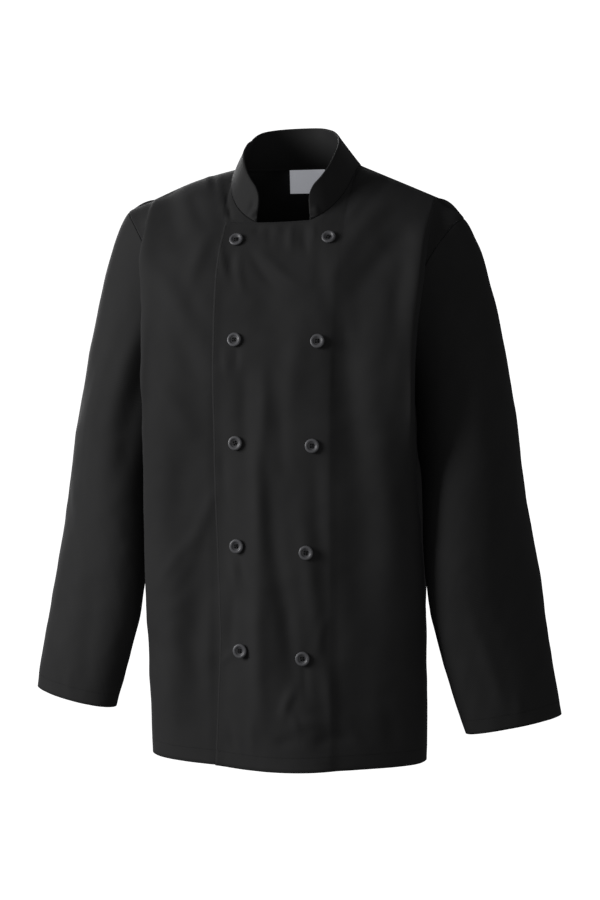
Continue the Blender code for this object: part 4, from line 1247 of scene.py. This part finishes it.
for name, side in (("sleeve_left", 1.0), ("sleeve_right", -1.0)):
    points, lifts = sleeve_grid(side)
    stitch = run_back(points, 0) - HEM_STITCH
    if side < 0:
        points, lifts = mirrored(points), mirrored(lifts)
    piece = cloth_piece(name + "_cloth", points, lifts, CLOTH, stitch, TWILL, ("bottom",),
                        wrap=True, flip=side < 0)
    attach(piece, "root")
    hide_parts(name)
    line, outward = inset(points[::-1], lifts[::-1], HEM_STITCH)
    sewn = stitching(name + "_stitching", [
        (np.concatenate([line, line[:1]]), np.concatenate([outward, outward[:1]]))])


# ------------------------------------------------------------------ the collar
# A stand collar of two cloths with interlining, 5 cm high, its front corners rounded and
# its ends 7 cm apart. It stands up from the neck seam, highest at the back.
BAND = 0.0024
COLLAR_CORNER = 0.014     # radius of its front corners
COLLAR_FADE = 0.004       # creases die away over this above its foot
ROWS_COLLAR = 18

# By distance along the neck seam from the front end, to the middle of the back and a little
# past it: lean inwards, to the left, forwards, and rise.
COLLAR_SECTIONS = (
    (0.000, 0.0086, 0.0016, 0.002, 0.0394),
    (0.059, 0.0141, 0.0022, 0.006, 0.0447),
    (0.105, 0.0195, 0.0009, 0.010, 0.0372),
    (0.147, 0.0233, -0.0029, 0.014, 0.0341),
    (0.195, 0.0175, -0.0067, 0.018, 0.0459),
    (0.255, 0.0000, -0.0002, 0.010, 0.0515),
    (0.321, 0.0175, -0.0067, 0.018, 0.0459),
)

# Creases of the collar by distance from the middle of its back, and height: as the fronts'.
COLLAR_FOLDS = (
    (-251, 2, -245, 19, 2, 3.6, -2.2, 0),
    (-244, 1, -238, 13, 1, 3.4, 1.9, 0.4),
    (-240, 2, -229, 24, 2, 4.2, -2.1, 0),
    (-150, 6, -146, 34, 3, 12, 0.9, 0.3),
    (250, 2, 244, 16, -2, 3.6, -2.1, 0),
    (243, 1, 236, 13, -1, 3.4, 1.8, 0.4),
    (140, 8, 150, 36, -3, 11, 0.9, 0.3),
    (40, 10, 48, 50, 3, 10, 0.8, 0.3),
    (-50, 12, -60, 46, 3, 11, -0.8, 0),
)


def plain_turn(turn):
    """The place on the plain ellipse, in radians, as far along the seam's front as turn."""
    first = math.asin(COLLAR_END / NECK_HALF)
    return mix(first, math.pi / 2.0, (turn - NECK_FIRST) / (90.0 - NECK_FIRST))


def collar_line(turn, side):
    """The collar's foot and its rise at one place, on the +X half."""
    row = read_rows(COLLAR_SECTIONS, neck_run(turn))
    inwards = -row[1] * math.sin(math.radians(turn)) + side * row[2]
    lean = np.array([inwards, -row[3], row[4]])
    foot = neck_point(turn)
    if turn < 90.0:
        lean = lean + plain_neck_point(NECK_HALF * math.sin(plain_turn(turn))) - foot
    along = np.linalg.norm(foot - neck_point(NECK_FIRST))
    height = np.linalg.norm(lean)
    if along < COLLAR_CORNER:
        height -= COLLAR_CORNER - math.sqrt(COLLAR_CORNER ** 2 - (COLLAR_CORNER - along) ** 2)
    if turn < 90.0:
        foot = foot + neck_lift(turn) * side * LAYER * layer_share(foot)
    return foot + unit(lean) * SEAM, unit(lean) * height


def collar_grid():
    """The collar from the wearer's left front end round the back to the right."""
    turns = [place for kind, place in front_columns() if kind == "neck"] + [90.0]
    turns += [place for kind, place in reversed(back_columns()) if kind == "neck"]
    halves = []
    for side in (1.0, -1.0):
        feet, rises = np.array([collar_line(turn, side) for turn in turns]).transpose(1, 0, 2)
        share = np.linspace(0.0, 1.0, ROWS_COLLAR + 1)[:, None, None]
        halves.append(feet[None] + rises[None] * share)
    points = np.concatenate([halves[0], mirrored(halves[1])[:, -2::-1]], axis=1)
    normals = grid_normals(points)
    across = run_along(points, 1)
    middle = across[:, len(turns) - 1:len(turns)]
    height = run_along(points, 0)
    push = fold_heights(COLLAR_FOLDS, middle - across, height) * ease(height / COLLAR_FADE)
    points += normals * push[..., None]
    lifts = grid_normals(points)
    first = np.array([neck_lift(turn) for turn in turns])
    lifts[0] = np.concatenate([first, mirrored(first)[-2::-1]])
    return points, lifts


collar_points, collar_lifts = collar_grid()
collar_edge = np.minimum(run_along(collar_points, 1), run_back(collar_points, 1))
collar_edge = np.minimum(run_back(collar_points, 0), collar_edge) - EDGE_STITCH
collar = cloth_piece(
    "collar_cloth", collar_points, collar_lifts, BAND, collar_edge, TWILL, ("bottom",))
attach(collar, "root")
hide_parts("collar")
collar_stitching = stitching("collar_stitching", [
    trimmed(inset(collar_points[::-1], collar_lifts[::-1], EDGE_STITCH), 2, 2)])


# ------------------------------------------------------------------ the label
# A small white woven satin label, bare, sewn into the neck seam at the middle of the back
# and hanging against the inside of the cloth.
LABEL_LONG = 0.0305
LABEL_THICK = 0.0005
LABEL_ROWS = 16
LABEL_FORWARD = 0.0046    # its top edge lies in front of and below the seam it is sewn to
LABEL_BELOW = 0.0018
LABEL_LEAN = 0.16         # its foot hangs back against the cloth, with a slight wave
LABEL_WAVE = 0.0012
LABEL_RIPPLES = 90.0      # radians of it for each metre across
WARP_PITCH = 0.0004
WARP_HEIGHT = 0.00001
LABEL_COLOUR = (0.86, 0.87, 0.90, 1.0)
LABEL_SHADE = (0.70, 0.71, 0.75, 1.0)


def label_material():
    """White satin with a fine warp and a faint glow of painted light, so that it shows bright in
    the hollow of the neck.
    """
    # the emission is painted light: the label glows though it is no lamp
    material, tree = new_material(
        "white_satin_painted_glow", Specular_IOR_Level=0.45, Sheen_Weight=0.1,
        Emission_Color=(0.90, 0.92, 1.0, 1.0), Emission_Strength=0.22)
    place, across, _ = uv_place(tree, "cloth")
    warp = wave(across, WARP_PITCH) * 0.5 + 0.5
    soil = noise(tree, place, 120.0, 3.0)
    finish_surface(tree, warp * 0.25 + soil * 0.35, LABEL_COLOUR, LABEL_SHADE,
                   0.42 + soil * 0.12, warp * WARP_HEIGHT)
    return material


def label_grid():
    """The label's grid: it hangs plumb from the neck seam, clear of the back's inside."""
    centre = back_points.shape[1] // 2
    seam = back_points[-1, centre - LABEL_COLUMNS:centre + LABEL_COLUMNS + 1]
    wider = np.array([LABEL_HALF / abs(seam[-1, 0]), 1.0, 1.0])
    points, lifts = [], []
    for k in range(LABEL_ROWS + 1):
        low = LABEL_LONG * (1.0 - k / LABEL_ROWS)
        line = seam * wider - np.array([0.0, LABEL_FORWARD, LABEL_BELOW + low])
        ripple = LABEL_WAVE * np.sin(line[:, 0] * LABEL_RIPPLES)
        line[:, 1] += LABEL_LEAN * low + ripple * low / LABEL_LONG
        near = (k / LABEL_ROWS) ** 3
        lift = unit(mix(np.array([0.0, 1.0, 0.35]), back_lifts[-1, centre], near))
        points.append(line)
        lifts.append(np.broadcast_to(lift, line.shape))
    return np.array(points), np.array(lifts)


label_points, label_lifts = label_grid()
label_edge = np.full(label_points.shape[:2], 1.0)
label = cloth_piece("label_satin", label_points, label_lifts, LABEL_THICK, label_edge,
                    label_material(), flip=True)
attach(label, "root")
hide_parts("label")


# ------------------------------------------------------------------ the buttons
# Ten black moulded buttons of 18 mm, in two columns of five: a raised rim, a shallow dish
# and four holes, each sewn on with two crossed threads over a short shank.
BUTTON_R = 0.0088
BUTTON_SIDES = 64
HOLE_R = 0.00118
HOLE_OUT = 0.0020          # from the button's middle to a hole's
HOLE_SIDES = 16
HOLE_TURN = math.pi / 4.0  # the first hole's direction
BUTTON_SHARP = math.radians(42.0)
HIGHLIGHT_FROM = 0.0026          # the rim is painted lighter between these radii: painted highlight on the rim, painted shade in the dish
HIGHLIGHT_TO = 0.0050
TURNING_PITCH = 0.0004
TURNING_HEIGHT = 0.000003
CLOUD_HEIGHT = 0.00001
BUTTON_BLACK = (0.009, 0.009, 0.010, 1.0)
# the lighter colour is a painted highlight for the rim
BUTTON_RIM_HIGHLIGHT = (0.120, 0.120, 0.129, 1.0)

# The turned profile from the middle of the back to the dish: radius and height.
BUTTON_PROFILE = (
    (0.0060, 0.0000), (0.0076, 0.0003), (0.0084, 0.0008), (0.0088, 0.0015), (0.0088, 0.0023),
    (0.0085, 0.0030), (0.0080, 0.0034), (0.0072, 0.0036), (0.0063, 0.0036), (0.0056, 0.0033),
    (0.0051, 0.0028), (0.0048, 0.0023), (0.0044, 0.0020), (0.0038, 0.0019),
)


def button_material():
    """Moulded plastic with faint turning marks, its raised rim painted lighter than its dish:
    painted highlight and painted shade.
    """
    material, tree = new_material("black_plastic", Specular_IOR_Level=0.6)
    place, x, y = uv_place(tree, "face")
    out = (x * x + y * y).math("SQRT")
    rings = wave(out, TURNING_PITCH) * 0.5 + 0.5
    cloud = noise(tree, place, 500.0, 3.0)
    # the rim mask paints the rim light and the dish dark: painted highlight and painted shade
    rim = add_node(tree, "ShaderNodeMapRange", {"interpolation_type": "SMOOTHSTEP"}, {
        "Value": out, "From Min": HIGHLIGHT_FROM, "From Max": HIGHLIGHT_TO})
    finish_surface(tree, rim * 0.72 + cloud * 0.20, BUTTON_BLACK, BUTTON_RIM_HIGHLIGHT,
                   0.32 + cloud * 0.12 + rings * 0.04,
                   rings * TURNING_HEIGHT + cloud * CLOUD_HEIGHT)
    return material


BUTTON_PLASTIC = button_material()


def circle(radius, count, height=0.0, middle=(0.0, 0.0, 0.0), start=0.0):
    """Corners of a level circle, round from the start angle."""
    angles = [start + 2.0 * math.pi * i / count for i in range(count)]
    return [(middle[0] + radius * math.cos(angle), middle[1] + radius * math.sin(angle), height)
            for angle in angles]


def band(low, high, count):
    """Quads between two circles of corners, by the numbers of their first ones."""
    rounds = [(i, (i + 1) % count) for i in range(count)]
    return [(low + i, low + n, high + n, high + i) for i, n in rounds]


def button_mesh():
    """A turned button with four holes through its dish, facing +Z."""
    verts, faces = [], []
    for radius, height in BUTTON_PROFILE:
        verts += circle(radius, BUTTON_SIDES, height)
    last = len(verts) - BUTTON_SIDES
    for first in range(0, last, BUTTON_SIDES):
        faces += band(first, first + BUTTON_SIDES, BUTTON_SIDES)
    quarter, ends = BUTTON_SIDES // 4, []
    for first in (0, last):
        height = verts[first][2]
        centre = len(verts)
        verts.append((0.0, 0.0, height))
        verts += circle(HOLE_OUT, 4, height)
        holes = []
        for k, middle in enumerate(circle(HOLE_OUT, 4, start=HOLE_TURN)):
            holes.append(len(verts))
            verts += circle(HOLE_R, HOLE_SIDES, height, middle, HOLE_TURN + k * math.pi / 2.0)
        ends.append(holes)
        # outside, each hole faces the quarter of the rim beyond it, and inside the middle
        for k, hole in enumerate(holes):
            rim = [first + (k * quarter + i) % BUTTON_SIDES for i in range(quarter + 1)]
            before, after = centre + 1 + k, centre + 1 + (k + 1) % 4
            inner = [hole + HOLE_SIDES // 4 + i for i in range(HOLE_SIDES // 2 + 1)]
            outer = [hole + (HOLE_SIDES * 3 // 4 + i) % HOLE_SIDES
                     for i in range(HOLE_SIDES // 2 + 1)]
            faces += fan_strip([before] + rim + [after], outer, first == 0)
            faces += fan_strip([after, centre, before], inner, first == 0)
    for under, dish in zip(*ends):
        faces += [quad[::-1] for quad in band(under, dish, HOLE_SIDES)]
    mesh = bpy.data.meshes.new("button")
    mesh.from_pydata(verts, [], faces)
    mesh.validate()
    mesh.update()
    mesh.shade_smooth()
    mesh.set_sharp_from_angle(angle=BUTTON_SHARP)
    layer = mesh.uv_layers.new(name="face")
    for loop in mesh.loops:
        layer.data[loop.index].uv = mesh.vertices[loop.vertex_index].co[:2]
    mesh.materials.append(BUTTON_PLASTIC)
    return mesh


def fan_strip(outer, inner, flip):
    """Triangles between two lines of corners that run the same way."""
    faces = []
    i = j = 0
    while i < len(outer) - 1 or j < len(inner) - 1:
        if j == len(inner) - 1 or (
                i < len(outer) - 1 and (i + 1) / (len(outer) - 1) <= (j + 1) / (len(inner) - 1)):
            face = (outer[i], outer[i + 1], inner[j])
            i += 1
        else:
            face = (outer[i], inner[j + 1], inner[j])
            j += 1
        faces.append(face[::-1] if flip else face)
    return faces


LOOP_STEPS = 14
LOOP_SIDES = 8
LOOP_WIDE = 0.00036        # half the width and half the height of the laid threads
LOOP_HIGH = 0.00028
LOOP_SUNK = 0.0016         # its ends go down into the holes, its middle lies over the dish
LOOP_OVER = 0.0003
LOOP_CROSSING = 0.00035    # the second lies this far over the first
SHANK_R = 0.0027
SHANK_SIDES = 16
SHANK_ENDS = (-0.0007, 0.0008)


def thread_loop(start, end, height):
    """One thread over the dish, from hole to hole, as a bent tube."""
    verts, faces = [], []
    start, end = Vector(start), Vector(end)
    across = Vector((0.0, 0.0, 1.0)).cross((end - start).normalized())
    for s in range(LOOP_STEPS + 1):
        t = s / LOOP_STEPS
        lift = math.sin(math.pi * t) ** 0.5
        centre = start.lerp(end, t)
        centre.z += mix(height - LOOP_SUNK, height + LOOP_OVER, lift)
        for k in range(LOOP_SIDES):
            angle = 2.0 * math.pi * k / LOOP_SIDES
            spot = centre + across * LOOP_WIDE * math.cos(angle)
            spot.z += LOOP_HIGH * math.sin(angle)
            verts.append(tuple(spot))
    last = LOOP_STEPS * LOOP_SIDES
    for low in range(0, last, LOOP_SIDES):
        faces += [(a, d, c, b) for a, b, c, d in band(low, low + LOOP_SIDES, LOOP_SIDES)]
    faces.append(tuple(range(LOOP_SIDES)))
    faces.append(tuple(range(last, last + LOOP_SIDES))[::-1])
    return verts, faces


def sewing_mesh():
    """The crossed threads on the dish and the shank under the button."""
    verts, faces = [], []
    dish = BUTTON_PROFILE[-1][1]
    corners = circle(HOLE_OUT, 4, start=HOLE_TURN)
    for a, height in ((0, dish), (1, dish + LOOP_CROSSING)):
        part, tiles = thread_loop(corners[a], corners[a + 2], height)
        faces += [tuple(len(verts) + i for i in tile) for tile in tiles]
        verts += part
    start, above = len(verts), len(verts) + SHANK_SIDES
    for height in SHANK_ENDS:
        verts += circle(SHANK_R, SHANK_SIDES, height)
    faces += band(start, above, SHANK_SIDES)
    faces.append(tuple(range(start, above))[::-1])
    faces.append(tuple(range(above, above + SHANK_SIDES)))
    mesh = bpy.data.meshes.new("button_thread")
    mesh.from_pydata(verts, [], faces)
    mesh.validate()
    mesh.shade_smooth()
    mesh.materials.append(THREAD)
    return mesh


def seat_of(node):
    """Where a button lies: its middle and the way it faces, from the solid it replaces."""
    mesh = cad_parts[node].data
    spots = np.array([v.co[:] for v in mesh.vertices])
    middle = (spots.min(axis=0) + spots.max(axis=0)) / 2.0
    facing = np.linalg.svd(spots - spots.mean(axis=0), full_matrices=False)[2][2]
    return Vector(middle), Vector(facing * -math.copysign(1.0, facing[1]))


BUTTON_SPINS = {           # how far each is turned, in degrees, from the top down
    "button_right": (4.0, -3.0, 18.0, 2.0, -6.0),
    "button_left": (-20.0, 3.0, 5.0, -4.0, 12.0),
}
CAST_RINGS = 3             # rings of rays that find the highest cloth under a button
CAST_ROUND = 16            # rays on a ring
CAST_FROM = 0.02           # they start this far above the cloth
BUTTON_CLEAR = 0.00015     # from the highest cloth under a button to its back
lap_cloth = BVHTree.FromPolygons(
    [v.co.copy() for v in front_left.data.vertices],
    [tuple(face.vertices) for face in front_left.data.polygons])
shared_button = button_mesh()
shared_sewing = sewing_mesh()
for column, spins in BUTTON_SPINS.items():
    for number, spin in enumerate(spins, 1):
        node = "%s_%d" % (column, number)
        middle, facing = seat_of(node)
        tilt = Vector((0.0, 0.0, 1.0)).rotation_difference(facing)
        seat = 1.0
        for ring in range(CAST_RINGS + 1):
            for spot in circle(BUTTON_R * ring / CAST_RINGS, CAST_ROUND):
                start = middle + tilt @ Vector(spot) + facing * CAST_FROM
                hit = lap_cloth.ray_cast(start, -facing)
                if hit[0] is not None:
                    seat = min(seat, hit[3])
        foot = middle + facing * (CAST_FROM - seat + BUTTON_CLEAR)
        turn = Matrix.Rotation(math.radians(spin), 4, "Z")
        place = Matrix.Translation(foot) @ tilt.to_matrix().to_4x4() @ turn
        for shared, ending in ((shared_button, "_turned"), (shared_sewing, "_thread")):
            mesh = shared.copy()
            mesh.transform(place)
            piece = in_scene(node + ending, mesh)
            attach(piece, "root")
            if ending == "_turned":
                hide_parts(node)
bpy.data.meshes.remove(shared_button)
bpy.data.meshes.remove(shared_sewing)


# ------------------------------------------------------------------ studio
# A plain pale floor that runs up into a plain pale wall all round, one large softbox at the
# wearer's right, a weak fill low in front, one behind for the back, and the camera 12 degrees
# to the wearer's left.
AZIMUTH = math.radians(12.0)
CAMERA_FAR = 2.8
AIM = Vector((0.004 * math.cos(AZIMUTH), 0.004 * math.sin(AZIMUTH), -0.364))
PIXELS_PER_METRE = 780.0
FRAME_HEIGHT = 900.0
FLOOR_Z = -1.55
FLOOR_FLAT = 6.0           # radius of the flat floor, of the bend round it, and the wall's top
FLOOR_BEND = 1.5
FLOOR_TOP = 5.0
FLOOR_SIDES = 96
BEND_STEPS = 16


def studio_floor():
    """A round floor that curves up into a wall all round."""
    profile = [(0.02, FLOOR_Z), (FLOOR_FLAT, FLOOR_Z)]
    for i in range(1, BEND_STEPS + 1):
        angle = math.pi / 2.0 * i / BEND_STEPS
        rise = FLOOR_BEND * (1.0 - math.cos(angle))
        profile.append((FLOOR_FLAT + FLOOR_BEND * math.sin(angle), FLOOR_Z + rise))
    profile.append((FLOOR_FLAT + FLOOR_BEND, FLOOR_TOP))
    verts = [corner for radius, z in profile for corner in circle(radius, FLOOR_SIDES, z)]
    faces = [tuple(range(FLOOR_SIDES))]
    for first in range(0, len(verts) - FLOOR_SIDES, FLOOR_SIDES):
        faces += band(first + FLOOR_SIDES, first, FLOOR_SIDES)
    mesh = bpy.data.meshes.new("studio_floor")
    mesh.from_pydata(verts, [], faces)
    mesh.shade_smooth()
    mesh.materials.append(new_material(
        "pale_floor", Base_Color=(0.9, 0.9, 0.9, 1.0), Roughness=0.9,
        Emission_Color=(1.0, 1.0, 1.0, 1.0), Emission_Strength=1.0)[0])
    floor = in_scene("studio_floor", mesh)
    floor.visible_diffuse = False
    floor.visible_glossy = False


def softbox(name, place, aim, wide, high, power):
    """A plain rectangular softbox that points at a place."""
    lamp = bpy.data.lights.new(name, "AREA")
    lamp.shape = "RECTANGLE"
    lamp.size = wide
    lamp.size_y = high
    lamp.energy = power
    box = in_scene(name, lamp)
    box.location = place
    box.rotation_euler = (Vector(aim) - Vector(place)).to_track_quat("-Z", "Y").to_euler()


studio_floor()
softbox("key", (-2.50, -1.60, 0.42), (0.0, 0.0, -0.34), 1.4, 1.4, 68.0)
softbox("fill", (1.3, -2.5, -1.0), (0.0, 0.0, -0.50), 2.0, 1.6, 6.5)
softbox("rear", (-1.7, 2.7, 0.9), (0.0, 0.0, -0.30), 2.0, 2.0, 100.0)
world = bpy.data.worlds.new("studio")
world.use_nodes = True
background = world.node_tree.nodes["Background"]
background.inputs["Color"].default_value = (1.0, 1.0, 1.0, 1.0)
background.inputs["Strength"].default_value = 0.105
bpy.context.scene.world = world
bpy.context.scene.view_settings.view_transform = "Standard"

lens = bpy.data.cameras.new("camera")
lens.sensor_fit = "VERTICAL"
lens.sensor_height = 36.0
lens.lens = PIXELS_PER_METRE * CAMERA_FAR * lens.sensor_height / FRAME_HEIGHT
camera = in_scene("camera", lens)
camera.location = AIM + Vector((math.sin(AZIMUTH), -math.cos(AZIMUTH), 0.0)) * CAMERA_FAR
camera.rotation_euler = (math.pi / 2.0, 0.0, AZIMUTH)
bpy.context.scene.camera = camera
